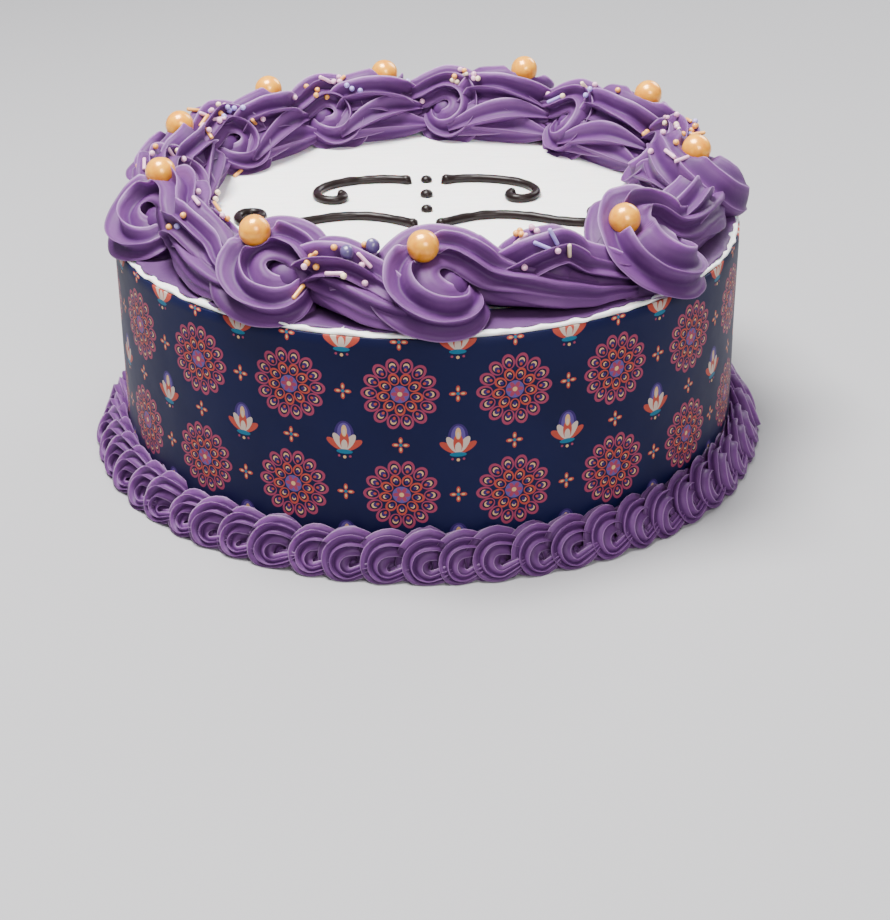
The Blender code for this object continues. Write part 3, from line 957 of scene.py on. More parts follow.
@dataclass(frozen=True)
class PrintedSheet:
    """The printed icing sheet: rows of round flowers with lotus buds between them, on deep blue.

    Attributes:
        name: material name.
        across: flowers round the cake.
        row: height of a row, mm.
        low: height of the lowest row's flowers, mm.
        deep, pale_deep, violet, rose, coral, lilac, cream, white, teal: its inks.
        grains: fine relief.
    """

    name: str = "printed_wrap"
    across: int = 19
    row: float = 33.0
    low: float = 25.0
    deep: Colour = (0.0022, 0.0036, 0.029)
    pale_deep: Colour = (0.0032, 0.0052, 0.037)
    violet: Colour = (0.028, 0.013, 0.095)
    rose: Colour = (0.230, 0.032, 0.070)
    coral: Colour = (0.320, 0.045, 0.030)
    lilac: Colour = (0.080, 0.052, 0.200)
    cream: Colour = (0.500, 0.310, 0.140)
    white: Colour = (0.420, 0.340, 0.290)
    teal: Colour = (0.008, 0.105, 0.180)
    grains: tuple[Grain, ...] = (Grain(90.0, 3.0, 0.12, 0.0005), Grain(1500.0, 2.0, 0.10, 0.00004))

    def cell(self, shader: Shader, along: Socket, up: Socket, shift: Pair) -> tuple[Socket, Socket]:
        """Repeat the sheet's coordinates in cells.

        Args:
            shader: the material.
            along: length round the cake, mm.
            up: height, mm.
            shift: shift of the cells, as shares of a cell.

        Returns:
            The two coordinates from the middle of each cell.
        """
        found = []
        for value, size, start, share in (
            (along, math.tau * WRAP_RADIUS / self.across, 0.0, shift[0]),
            (up, self.row, self.low, shift[1]),
        ):
            moved = shader.math("SUBTRACT", value, start + (share - 0.5) * size)
            found.append(shader.math("SUBTRACT", shader.math("FLOORED_MODULO", moved, size), size / 2))
        return found[0], found[1]

    def ring(self, shader: Shader, x: Socket, y: Socket, petals: int, half_turn: bool = False) -> Socket:
        """Fold a cell round its middle, so that one oval prints a ring of petals.

        Args:
            shader: the material.
            x: length from the middle of the cell, mm.
            y: height from there, mm.
            petals: number of petals.
            half_turn: turn the ring by half a petal.

        Returns:
            The folded coordinates.
        """
        step = math.tau / petals
        offset = step * (0.5 if half_turn else 0.0) + math.pi / 2
        reach = shader.math("SQRT", shader.math("MULTIPLY_ADD", x, x, shader.math("MULTIPLY", y, y)))
        angle = shader.math("ADD", shader.math("ARCTAN2", y, x), offset)
        folded = shader.math("SUBTRACT", shader.math("FLOORED_MODULO", angle, step), step / 2)
        return shader.vector(
            shader.math("MULTIPLY", reach, shader.math("COSINE", folded)),
            shader.math("MULTIPLY", reach, shader.math("SINE", folded)),
        )

    def flower(self, ink: InkPlane, x: Socket, y: Socket) -> None:
        """Print the round flower with two rings of scalloped petals.

        Args:
            ink: the sheet's ink.
            x: length from the middle of the cell, mm.
            y: height from there, mm.
        """
        outer = self.ring(ink.shader, x, y, 14)
        ink.oval(outer, (9.1, 0), (2.45, 1.95), self.rose)
        ink.oval(outer, (8.8, 0), (1.85, 1.35), self.deep)
        ink.oval(outer, (9.1, 0), (0.95, 0.90), self.cream)
        ink.oval(outer, (8.6, 0), (0.85, 0.78), self.violet)
        ink.oval(outer, (8.0, 0), (0.50, 0.42), self.coral)
        inner = self.ring(ink.shader, x, y, 9, half_turn=True)
        ink.oval(inner, (5.0, 0), (1.95, 1.60), self.coral)
        ink.oval(inner, (4.8, 0), (1.45, 1.08), self.deep)
        ink.oval(inner, (5.0, 0), (0.70, 0.66), self.cream)
        ink.oval(inner, (4.6, 0), (0.62, 0.55), self.violet)
        heart = self.ring(ink.shader, x, y, 6)
        ink.oval(heart, (0, 0), (2.75, 2.75), self.lilac)
        ink.oval(heart, (1.5, 0), (1.05, 0.62), self.rose)
        ink.oval(heart, (0, 0), (0.72, 0.72), self.cream)

    def bud(self, ink: InkPlane, x: Socket, y: Socket) -> None:
        """Print the lotus bud, the same on both sides of its middle.

        Args:
            ink: the sheet's ink.
            x: length from the middle of the cell, mm.
            y: height from there, mm.
        """
        plane = ink.shader.vector(ink.shader.math("ABSOLUTE", x), y)
        ink.oval(plane, (0, 2.4), (3.0, 4.4), self.violet)
        ink.oval(plane, (0, 2.8), (2.1, 3.4), self.lilac)
        ink.oval(plane, (2.9, -0.9), (3.0, 1.15), self.coral, 34)
        ink.oval(plane, (1.7, 0.0), (3.0, 1.15), self.white, 58)
        ink.oval(plane, (0, 0.5), (1.45, 3.0), self.coral)
        ink.oval(plane, (0, -1.0), (0.95, 1.7), self.white)
        ink.oval(plane, (0, 3.6), (0.85, 1.9), self.cream)
        ink.oval(plane, (0, 3.1), (0.4, 1.0), self.white)
        ink.oval(plane, (0, -3.2), (2.5, 0.75), self.teal)
        ink.oval(plane, (0, -5.0), (0.5, 0.5), self.cream)
        ink.oval(plane, (1.7, -4.7), (0.38, 0.38), self.rose)

    def sprig(self, ink: InkPlane, x: Socket, y: Socket) -> None:
        """Print the small four-petalled flower that fills a gap.

        Args:
            ink: the sheet's ink.
            x: length from the middle of the cell, mm.
            y: height from there, mm.
        """
        petals = self.ring(ink.shader, x, y, 4, half_turn=True)
        ink.oval(petals, (1.55, 0), (1.05, 0.62), self.coral)
        ink.oval(petals, (1.45, 0), (0.55, 0.30), self.cream)
        ink.oval(petals, (0, 0), (0.55, 0.55), self.teal)

    def material(self) -> bpy.types.Material:
        """Build the material."""
        shader = Shader(self.name)
        place = shader.add("ShaderNodeTexCoord").outputs["Object"]
        split = shader.add("ShaderNodeSeparateXYZ", {0: place}).outputs
        along = shader.math("MULTIPLY", shader.math("ARCTAN2", split["Y"], split["X"]), WRAP_RADIUS)
        up = shader.math("MULTIPLY", split["Z"], 1 / MM)
        ground = shader.ramp(shader.noise(25.0, 2.0), ((0.35, self.deep), (0.65, self.pale_deep)))
        ink = InkPlane(shader, ground)
        for motif, shift in (
            (self.sprig, (0.5, 0.0)), (self.bud, (0.5, 0.5)),
            (self.sprig, (0.0, 0.5)), (self.flower, (0.0, 0.0)),
        ):
            motif(ink, *self.cell(shader, along, up, shift))
        shader.set(
            Base_Color=ink.colour,
            Roughness=shader.math("MULTIPLY_ADD", shader.noise(120.0, 3.0), 0.12, 0.46),
            IOR=1.4, Specular_IOR_Level=0.2,
        )
        shader.bump(self.grains)
        return shader.material


@dataclass
class PrintedWrap:
    """The icing sheet round the side; its ends overlap at the back.

    Attributes:
        radius: outer radius, mm.
        thickness: of the sheet, mm.
        low: height of its lower edge, mm.
        high: height of its upper edge, mm.
        edge: how far its edges are rounded, mm.
        overlap_deg: how far one end lies over the other, degrees.
        overlap_rise: how far the upper end stands out, mm.
        overlap_runs: degrees over which it rises at its edge and sinks back.
        seam_shares: further columns of points at the overlap, in halves of it.
        segments: columns of points elsewhere.
        rows: points up the sheet.
        wave: how far it waves, mm.
        wave_round: waves round the cake, as a noise scale.
        wave_height: height of a wave, mm.
        lift_ratio: how much finer its edges wave.
    """

    radius: float = WRAP_RADIUS
    thickness: float = WRAP_THICKNESS
    low: float = WRAP_BOTTOM
    high: float = WRAP_TOP
    edge: float = 0.14
    overlap_deg: float = 7.0
    overlap_rise: float = 0.3
    overlap_runs: Pair = (0.05, 2.5)
    seam_shares: tuple[float, ...] = (-1.001, -0.985, -0.9, 0.3, 0.999)
    segments: int = 320
    rows: int = 24
    wave: float = 0.16
    wave_round: float = 5.0
    wave_height: float = 28.0
    lift_ratio: float = 1.7

    def rise(self, angle: float) -> float:
        """Work out how far the sheet stands out where its ends lie over each other.

        Args:
            angle: where on the cake, radians.

        Returns:
            The rise, mm.
        """
        off = math.degrees((angle - math.pi / 2 + math.pi) % math.tau - math.pi)
        half = self.overlap_deg / 2
        if off < -half or off > half:
            return 0.0
        steep, gentle = self.overlap_runs
        return self.overlap_rise * min(1.0, (off + half) / steep, (half - off) / gentle)

    def build(self) -> bpy.types.Object:
        """Build the band, gently waved."""
        half = math.radians(self.overlap_deg / 2)
        angles = list(np.arange(self.segments) * math.tau / self.segments)
        angles += [math.pi / 2 + half * share for share in self.seam_shares]
        heights = np.linspace(self.low + self.edge, self.high - self.edge, self.rows)
        points = []
        for angle in sorted(angles):
            outer = self.radius + self.rise(angle)
            inner = self.radius - self.thickness
            column = [(inner, self.low), (outer - self.edge, self.low)]
            column += [(outer, z) for z in heights]
            column += [(outer - self.edge, self.high), (inner, self.high)]
            cos, sin = math.cos(angle), math.sin(angle)
            for r, z in column:
                place = Vector((cos * self.wave_round, sin * self.wave_round, z / self.wave_height))
                bow = noise.noise(place) * self.wave if r > inner else 0.0
                lift = noise.noise(place * self.lift_ratio) * self.wave
                points.append((cos * (r + bow), sin * (r + bow), z + lift))
        made = mesh_object("printed_sheet", np.array(points) * MM, closed_ring(len(angles), self.rows + 4))
        made.data.materials.append(PrintedSheet().material())
        return made


def closed_ring(count: int, size: int) -> list[Face]:
    """Return the faces that join closed outlines of points into a ring.

    Args:
        count: number of outlines round the ring.
        size: points of an outline.

    Returns:
        The faces.
    """
    faces = []
    for k in range(count):
        here, there = k * size, (k + 1) % count * size
        for j in range(size):
            n = (j + 1) % size
            faces.append((here + j, there + j, there + n, here + n))
    return faces


@dataclass
class Smear:
    """The thin film of purple icing that the swirls left on the white top towards the rim.

    Attributes:
        inner: radius of its inner edge, under the swirls, mm.
        outer: radius of its outer edge, mm.
        reach: radius that it never passes, mm.
        thickness: of the film, mm.
        segments: outlines round the ring.
        profile: outline as (share of the width, share of the thickness).
        scallops: size in mm and noise scale of the outer edge's waves.
        frays: the same of the finer waves on them.
        wander: the same of the inner edge's waves.
        lumps: unevenness as a share of the thickness, and its noise scale.
        grain: height of the marks on top, mm.
        grain_width: width of a mark, mm.
        grain_turns: noise scale of the marks round the ring.
        slices: levels in the noise at which the edges' waves and the marks are read.
    """

    inner: float = 84.0
    outer: float = 100.5
    reach: float = 101.1
    thickness: float = 0.45
    segments: int = 420
    profile: tuple[Pair, ...] = (
        (0, 0.0), (0.04, 0.7), (0.3, 1.0), (0.6, 0.8), (0.9, 1.0), (0.97, 0.8), (1, 0.0), (0.5, -0.3))
    scallops: Pair = (1.6, 9.0)
    frays: Pair = (0.8, 31.0)
    wander: Pair = (3.0, 6.0)
    lumps: Pair = (0.5, 14.0)
    grain: float = 0.16
    grain_width: float = 1.7
    grain_turns: float = 4.0
    slices: Pair = (0.3, 2.0)

    def sway(self, spot: Vector, wave: Pair) -> float:
        """Return a wave's noise at a spot."""
        return noise.noise(spot * wave[1]) * wave[0]

    def build(self, material: bpy.types.Material) -> bpy.types.Object:
        """Build the film as a closed ring with ragged edges.

        Args:
            material: its finish.

        Returns:
            The new object.
        """
        points = []
        for k in range(self.segments):
            angle = math.tau * k / self.segments
            spot = Vector((math.cos(angle), math.sin(angle), self.slices[0]))
            ragged = self.sway(spot, self.scallops) + self.sway(spot, self.frays)
            low, high = self.inner + self.sway(spot, self.wander), min(self.outer + ragged, self.reach)
            film = self.thickness * (1 + self.sway(spot, self.lumps))
            for share, rise in self.profile:
                r = low + (high - low) * share
                mark = noise.noise(Vector((r / self.grain_width, angle * self.grain_turns, self.slices[1])))
                top = CAKE_HEIGHT + film * rise + (self.grain * mark if rise > 0 else 0.0)
                points.append((r * math.cos(angle), r * math.sin(angle), top))
        faces = [(a, d, c, b) for a, b, c, d in closed_ring(self.segments, len(self.profile))]
        made = mesh_object("smeared_icing", np.array(points) * MM, faces)
        made.data.materials.append(material)
        return made


@dataclass(frozen=True)
class Scroll:
    """One piped line of the scrollwork, seen from above.

    Attributes:
        start: where it starts, mm.
        heading: direction there, degrees.
        length: its length, mm.
        bends: keys of (share of the length, bend in degrees for each mm).
        marks: how many places along it share its length.
        fine: small steps from one place to the next, in which the line is worked out.
        every: how many of them lie between two of its points.
    """

    start: Pair
    heading: float
    length: float
    bends: tuple[Pair, ...]
    marks: int
    fine: int = 12
    every: int = 3

    def plan(self) -> np.ndarray:
        """Return points along the line, in mm."""
        point, angle = np.array(self.start, float), math.radians(self.heading)
        steps = (self.marks - 1) * self.fine
        found = [point.copy()]
        for i in range(steps):
            angle += math.radians(keyed(self.bends, (i + 0.5) / steps)) * self.length / steps
            point = point + np.array([math.cos(angle), math.sin(angle)]) * self.length / steps
            if (i + 1) % self.every == 0:
                found.append(point.copy())
        return np.array(found)


@dataclass
class Scrollwork:
    """The dark piped scrolls and dots on the white top.

    Attributes:
        radius: radius of a line, mm.
        sides: points round a line.
        base: height that it lies on, mm.
        lift: height of a line's middle, as a share of its radius.
        lumps: unevenness of a line's width, and its length in mm.
        bulge: how much thicker a line is where it ends.
        bulge_at: how far from the end, mm.
        taper: length of its rounded end, mm.
        thinnest: least width of the end, squared, as a share of the width.
        scrolls: the lines of the right half, which the left one mirrors.
        dots: (x, y, radius) of each dot.
        dot_profile: a dot's outline, as shares of its radius.
        dot_tip: (radius in mm, height as a share of the dot's radius) of its tip.
        dot_segments: points round a dot.
        seed: makes the lumps of each line its own.
    """

    radius: float = 1.5
    sides: int = 16
    base: float = CAKE_HEIGHT + 0.05
    lift: float = 0.72
    lumps: Pair = (0.10, 4.0)
    bulge: float = 0.16
    bulge_at: float = 1.6
    taper: float = 1.5
    thinnest: float = 0.02
    scrolls: dict[str, Scroll] = field(default_factory=lambda: {
        "right": Scroll(
            (3.0, -16.0), 38.0, 84.0, ((0, -0.4), (0.3, -2.4), (0.55, 2.0), (0.75, 8.0), (1.0, 23.0)), 24),
        "top_right": Scroll(
            (5.0, 26.0), 28.0, 58.0, ((0, -3.5), (0.3, -1.6), (0.6, -5.5), (0.8, -11.0), (1.0, -26.0)), 18),
    })
    dots: dict[str, tuple[float, float, float]] = field(default_factory=lambda: {
        "top": (0.0, 28.5, 2.0), "middle": (0.0, 14.0, 2.2), "low": (0.0, 0.0, 2.0)})
    dot_profile: tuple[Pair, ...] = (
        (0.0, 0.0), (0.9, 0.0), (1.0, 0.25), (0.93, 0.55), (0.68, 0.85), (0.3, 1.0), (0.0, 1.14))
    dot_tip: Pair = (0.12, 1.12)
    dot_segments: int = 28
    seed: float = 3.0

    def line(self, name: str, plan: np.ndarray, seed: float) -> bpy.types.Object:
        """Pipe a round, slightly lumpy line along a plan.

        Args:
            name: object name.
            plan: points seen from above, mm.
            seed: makes its lumps its own.

        Returns:
            The new object.
        """
        heading = np.gradient(plan, axis=0)
        heading /= np.linalg.norm(heading, axis=1)[:, None]
        angles = np.arange(self.sides) * math.tau / self.sides
        run = np.concatenate([[0], np.cumsum(np.linalg.norm(np.diff(plan, axis=0), axis=1))])
        sections = []
        for point, ahead, far in zip(plan, heading, run):
            end = min(far, run[-1] - far)
            swell = 1 + self.lumps[0] * noise.noise(Vector((far / self.lumps[1], seed, 0)))
            swell += self.bulge * math.exp(-((end - self.bulge_at) / self.bulge_at) ** 2)
            width = math.sqrt(max(self.thinnest, 1 - max(0.0, 1 - end / self.taper) ** 2))
            radius = self.radius * swell * width
            across = np.outer(np.cos(angles) * radius, (-ahead[1], ahead[0])) + point
            rise = np.maximum(0.0, radius * self.lift + np.sin(angles) * radius)
            sections.append(np.column_stack([across, self.base + rise]) * MM)
        skin = Skin()
        skin.loft(sections, [np.zeros(self.sides)] * len(sections), flip=True)
        return skin.to_object(name)

    def dot(self, name: str, x: float, y: float, radius: float) -> bpy.types.Object:
        """Pipe a dot.

        Args:
            name: object name.
            x: its place, mm.
            y: its place, mm.
            radius: its radius, mm.

        Returns:
            The new object.
        """
        profile = [(radius * r, radius * z) for r, z in self.dot_profile]
        profile.insert(-1, (self.dot_tip[0], radius * self.dot_tip[1]))
        made = lathe(name, profile, self.dot_segments)
        for vert in made.data.vertices:
            vert.co += Vector((x, y, self.base)) * MM
        return made

    def build(self, material: bpy.types.Material) -> dict[str, bpy.types.Object]:
        """Pipe the scrolls, mirrored left and right, and the dots.

        Args:
            material: the dark icing.

        Returns:
            The pieces by the node that each stands for.
        """
        made = {}
        for name, scroll in self.scrolls.items():
            for side, sign in (("right", 1), ("left", -1)):
                node = f"scroll_{name.replace('right', side)}"
                seed = self.seed * sign + len(name)
                made[node] = self.line(f"piped_{node}", scroll.plan() * (sign, 1), seed)
        for name, (x, y, radius) in self.dots.items():
            made[f"dot_{name}"] = self.dot(f"piped_dot_{name}", x, y, radius)
        for piece in made.values():
            piece.data.materials.append(material)
        return made


@dataclass
class CakeBody:
    """The cake under its wrap, with its scraped top and soft rim.

    Attributes:
        radius: radius under the sheet, mm.
        heights: heights of the rings up the side, mm.
        lip: radius of the lip of icing over the sheet's edge, mm.
        underside: points under the lip, (outward of it, above the sheet's edge), mm.
        edge: rounding of the lip, mm.
        edge_step: step of its arc, degrees.
        top_radii: radii of the rings on the top, mm.
        segments: points round the cake.
        unevenness: how ragged the lip is, and the size of its waves, mm.
        ragged_above: height at which that begins and the height over which it grows, mm.
        ragged_past: radius at which that begins and the width over which it grows, mm.
        seed: makes the raggedness its own.
    """

    radius: float = 100.8
    heights: tuple[float, ...] = (0.0, 30.0, WRAP_TOP - 0.4)
    lip: float = 101.6
    underside: tuple[Pair, ...] = ((-0.3, 0.15), (0.0, 0.35))
    edge: float = 0.6
    edge_step: int = 15
    top_radii: tuple[float, ...] = (100.2, 99.4, 98.0, 96.0, 92.0, 80.0, 60.0, 30.0, 0.0)
    segments: int = 400
    unevenness: Pair = (0.85, 5.0)
    ragged_above: Pair = (WRAP_TOP + 0.1, 0.4)
    ragged_past: Pair = (92.0, 6.0)
    seed: float = 4.0

    def build(self) -> bpy.types.Object:
        """Turn the body on a lathe and make its rim a little uneven."""
        profile = [(0.0, 0.0)] + [(self.radius, z) for z in self.heights]
        profile += [(self.lip + out, WRAP_TOP + up) for out, up in self.underside]
        for degrees in range(0, 91, self.edge_step):
            a = math.radians(degrees)
            inward, under = self.edge * (1 - math.cos(a)), self.edge * (1 - math.sin(a))
            profile.append((self.lip - inward, CAKE_HEIGHT - under))
        profile += [(r, CAKE_HEIGHT) for r in self.top_radii]
        made = lathe("cake_top_and_body", profile, self.segments)
        even = np.array([v.co[:] for v in made.data.vertices])
        (begin, climb), (inside, width) = self.ragged_above, self.ragged_past
        lift = np.clip((even[:, 2] - begin * MM) / (climb * MM), 0, 1)
        lift *= np.clip((np.linalg.norm(even[:, :2], axis=1) / MM - inside) / width, 0, 1)
        moved = roughen(even, *self.unevenness, self.seed)
        mixed = even + (moved - even) * lift[:, None]
        made.data.vertices.foreach_set("co", mixed.ravel())
        made.data.materials.append(ScrapedIcing().material())
        return made


def turned(profile: Sequence[Pair], segments: int) -> tuple[np.ndarray, list[Face]]:
    """Turn a (radius, height) profile, on the axis at both ends, into a closed body.

    Args:
        profile: points from the foot to the head.
        segments: steps round the axis.

    Returns:
        The points and the faces.
    """
    angles = np.arange(segments) * math.tau / segments
    points = [np.array([[0, 0, profile[0][1]]])]
    for radius, height in profile[1:-1]:
        level = np.full(segments, height)
        points.append(np.stack([radius * np.cos(angles), radius * np.sin(angles), level], axis=-1))
    points.append(np.array([[0, 0, profile[-1][1]]]))
    faces: list[Face] = []
    rings = len(profile) - 2
    head = 1 + rings * segments
    for k in range(segments):
        n = (k + 1) % segments
        faces.append((0, 1 + n, 1 + k))
        for i in range(rings - 1):
            low, high = 1 + i * segments, 1 + (i + 1) * segments
            faces.append((low + k, low + n, high + n, high + k))
        faces.append((head, head - segments + k, head - segments + n))
    return np.vstack(points), faces


def lathe(name: str, profile: Sequence[Pair], segments: int) -> bpy.types.Object:
    """Turn a profile into a closed object.

    Args:
        name: its name.
        profile: (radius, height) points in mm, from the foot to the head.
        segments: steps round the axis.

    Returns:
        The new object.
    """
    points, faces = turned(profile, segments)
    return mesh_object(name, points * MM, faces)


@dataclass(frozen=True)
class SwirlUnit:
    """How one repeat of the ring differs from the rest.

    Attributes:
        azimuth: where its pearl lies, degrees.
        head: the outward curl.
        link: the inward curl after it, its pivot's t as a share of the pitch.
        pearl: (t, r, z) of its pearl.
    """

    azimuth: float
    head: Curl
    link: Curl
    pearl: Point = (0.0, 1.5, 20.9)


HEAD = Curl(
    pivot=(9.0, 3.0, 9.5),
    tilt=37.0,
    fan=(
        (-52, 7.0, 6.0, -3.2),
        (-30, 8.4, 7.4, -2.4),
        (0, 9.8, 8.8, -1.2),
        (45, 10.8, 10.0, -0.2),
        (90, 11.2, 11.0, 0.0),
        (135, 10.6, 10.7, 0.0),
        (180, 9.1, 9.6, 0.0),
        (215, 8.6, 9.5, 0.0),
    ),
    tail=((0.40, -1.5, 9.0), (0.62, 1.0, 7.3), (0.85, 2.5, 6.0), (1.04, 3.0, 5.0)),
    tail_radii=((0, 8.6), (0.35, 8.4), (0.7, 8.0), (1, 6.0)),
    core=6.4,
    twist=22.0,
    merge=0.7,
)
LINK = Curl(
    pivot=(0.56, 4.0, 8.5),
    tilt=48.0,
    fan=(
        (-56, 6.2, 5.4, -2.6),
        (-30, 7.6, 6.6, -1.9),
        (5, 8.9, 8.0, -0.8),
        (50, 9.6, 9.0, 0.0),
        (100, 9.6, 9.2, 0.0),
        (150, 8.7, 9.0, 0.0),
        (180, 8.2, 9.0, 0.0),
    ),
    tail=((0.74, -2.0, 11.0), (0.88, -6.0, 8.0), (1.06, -8.0, 4.0)),
    tail_radii=((0, 8.2), (0.4, 7.6), (0.75, 6.2), (1, 3.0)),
    core=5.4,
    turn=Turn.INWARD,
    droop=0.0,
    twist=22.0,
    merge=0.4,
)
BEDDING = (
    Bedding(
        knots=((-16, 0, -7.5, 4.0), (0, 0, -7.5, 5.0), (0, 0.3, -7.5, 5.0), (0, 0.62, -7.0, 4.0)),
        radii=((0, 1.5), (0.2, 5.5), (0.8, 6.0), (1, 3.0)),
        nozzle=Nozzle(6, 0.28),
        steps=24,
    ),
    Bedding(
        knots=((-13, 0, -3.0, 9.0), (0, 0, -6.5, 10.0), (12, 0, -9.5, 8.0), (0, 0.52, -12.5, 4.0)),
        radii=((0, 2.0), (0.3, 7.4), (0.7, 7.0), (1, 3.0)),
        nozzle=Nozzle(7, 0.38),
        steps=28,
    ),
)
SHELL = Curl(
    pivot=(4.6, 3.6, 3.5),
    tilt=66.0,
    fan=(
        (-8, 3.9, 3.6, 0.2),
        (25, 4.6, 4.3, 0.1),
        (60, 5.6, 5.2, -0.2),
        (100, 6.6, 6.3, -0.7),
        (145, 7.2, 7.3, -1.5),
        (180, 7.3, 7.8, -2.2),
    ),
    tail=((0.85, -2.0, 6.1), (1.35, -1.1, 4.2), (1.85, 0.0, 2.2)),
    tail_radii=((0, 7.0), (0.35, 6.2), (0.7, 4.2), (1, 1.4)),
    core=2.2,
    nozzle=Nozzle(11, 0.46, 0.55, 5, 0.12),
    droop=0.0,
    twist=18.0,
    blunt=0.0,
    nose=2.5,
)


@dataclass
class SwirlRing:
    """The piped ring on top: outward curls with a pearl each, and inward curls between them.

    Attributes:
        units: the repeats of the ring, anticlockwise from the front.
        seat: ring and surface that they lie on.
        steps: sections of an outward curl, round its pivot and along its tail.
        link_steps: the same of an inward curl.
        waver: unevenness of an outward curl and the size of its waves, mm.
        link_waver: the same of an inward curl.
        seeds: first seeds of the outward and inward curls' unevenness.
        press: direction that a pearl is pressed from, (t, r, z) from its middle.
        pieces: the piped units.
    """

    units: tuple[SwirlUnit, ...]
    seat: Seat = Seat(RING_RADIUS, CAKE_HEIGHT, rim=WRAP_RADIUS - RING_RADIUS)
    steps: tuple[int, int] = (64, 46)
    link_steps: tuple[int, int] = (52, 40)
    waver: Pair = (0.55, 9.0)
    link_waver: Pair = (0.5, 9.0)
    seeds: Pair = (3.0, 40.0)
    press: Point = (0.0, 5.0, 9.0)
    pieces: list[bpy.types.Object] = field(default_factory=list)

    def pitch(self, index: int) -> float:
        """Return the distance along the ring to the next unit, mm."""
        here, there = self.units[index].azimuth, self.units[(index + 1) % len(self.units)].azimuth
        return math.radians((there - here) % 360) * RING_RADIUS

    def build(self, material: bpy.types.Material) -> list[bpy.types.Object]:
        """Pipe every unit as one piece.

        Args:
            material: the purple icing.

        Returns:
            The pieces.
        """
        for index, unit in enumerate(self.units):
            skin, pitch = Skin(), self.pitch(index)
            place = (skin, self.seat, unit.azimuth, pitch)
            link = replace(unit.link, pivot=(unit.link.pivot[0] * pitch, *unit.link.pivot[1:]))
            unit.head.pipe(*place, self.steps, self.waver, self.seeds[0] + index)
            link.pipe(*place, self.link_steps, self.link_waver, self.seeds[1] + index)
            for rope in BEDDING:
                rope.pipe(*place)
            skin.dent(*self.pearl_place(unit))
            made = skin.to_object(f"piped_swirl_{index + 1:02d}")
            made.data.materials.append(material)
            self.pieces.append(made)
        return self.pieces

    def pearl_place(self, unit: SwirlUnit) -> tuple[np.ndarray, np.ndarray]:
        """Find where a unit's pearl is set.

        Args:
            unit: the unit.

        Returns:
            The pearl's middle, metres, and the direction that it is pressed from.
        """
        middle = np.array(unit.pearl)
        ends = self.seat.bend(np.array([middle, middle + self.press]), unit.azimuth)
        return ends[0], (ends[1] - ends[0]) / np.linalg.norm(ends[1] - ends[0])

    def surface(self) -> BVHTree:
        """Return a search tree over every piece of the ring."""
        points, faces = [], []
        for piece in self.pieces:
            start = len(points)
            points += [v.co.copy() for v in piece.data.vertices]
            faces += [[start + i for i in p.vertices] for p in piece.data.polygons]
        return BVHTree.FromPolygons(points, faces)


@dataclass
class Pearls:
    """The gold sugar pearls, one on each outward curl.

    Attributes:
        radius: radius of a pearl, mm.
        fineness: subdivisions of the ball.
        unevenness: of a pearl, and the size of its waves, mm.
        seed: first seed of their unevenness.
    """

    radius: float = 4.75
    fineness: int = 5
    unevenness: Pair = (0.16, 5.0)
    seed: int = 5

    def build(self, ring: SwirlRing, material: bpy.types.Material) -> list[bpy.types.Object]:
        """Make each pearl a slightly uneven ball.

        Args:
            ring: the ring that they are set into.
            material: the gold shine.

        Returns:
            The pearls.
        """
        ball = bmesh.new()
        bmesh.ops.create_icosphere(ball, subdivisions=self.fineness, radius=self.radius * MM)
        ball.verts.index_update()
        raw = np.array([v.co[:] for v in ball.verts])
        faces = [tuple(v.index for v in f.verts) for f in ball.faces]
        ball.free()
        made = []
        for index, unit in enumerate(ring.units):
            points = roughen(raw, *self.unevenness, self.seed + index) + ring.pearl_place(unit)[0]
            pearl = mesh_object(f"sugar_pearl_{index + 1:02d}", points, faces)
            pearl.data.materials.append(material)
            made.append(pearl)
        return made


@dataclass
class ShellBorder:
    """The border round the foot: small curls piped one after the other against the wrap.

    Attributes:
        count: number of shells.
        middle: radius of the line that they are piped along, mm.
        gap: distance that they keep from the wrap, mm.
        steps: sections round a curl and along its tail.
        waver: unevenness and the size of its waves, mm.
        sizes: smallest and largest size of a shell.
        slide: how far a shell's pivot strays along the line, mm.
        lift: how far it strays up or down, mm.
        tip: how far its tilt strays, degrees.
        lean: how far it leans along the line, degrees.
        roll: how far its star is turned, degrees.
        stray: how far a shell strays along the line, as a share of the pitch.
        seed: seed of their small differences.
    """

    count: int = 58
    middle: float = WRAP_RADIUS + 2.3
    gap: float = 0.05
    steps: tuple[int, int] = (15, 9)
    waver: Pair = (0.5, 9.0)
    sizes: Pair = (0.77, 0.86)
    slide: float = 0.7
    lift: float = 0.3
    tip: float = 5.0
    lean: float = 6.0
    roll: float = 9.0
    stray: float = 0.05
    seed: int = 11

    def shell(self, dice: random.Random) -> Curl:
        """Shape the next shell, a little different from the last.

        Args:
            dice: source of the differences.

        Returns:
            The shell.
        """
        size = dice.uniform(*self.sizes)
        t, r, z = SHELL.pivot
        return replace(
            SHELL,
            pivot=(t + dice.uniform(-self.slide, self.slide), r, z + dice.uniform(-self.lift, self.lift)),
            tilt=SHELL.tilt + dice.uniform(-self.tip, self.tip),
            lean=dice.uniform(-self.lean, self.lean),
            phase=dice.uniform(-self.roll, self.roll),
        ).grown(size)

    def build(self, material: bpy.types.Material) -> bpy.types.Object:
        """Pipe all shells into one piece.

        Args:
            material: the purple icing.

        Returns:
            The border.
        """
        dice = random.Random(self.seed)
        seat = Seat(self.middle, 0.0, wall=WRAP_RADIUS + self.gap - self.middle)
        skin = Skin()
        pitch = math.tau * self.middle / self.count
        for k in range(self.count):
            azimuth = 360.0 * (k + dice.uniform(-self.stray, self.stray)) / self.count
            self.shell(dice).pipe(skin, seat, azimuth, pitch, self.steps, self.waver, float(k))
        made = skin.to_object("piped_shell_border")
        made.data.materials.append(material)
        return made


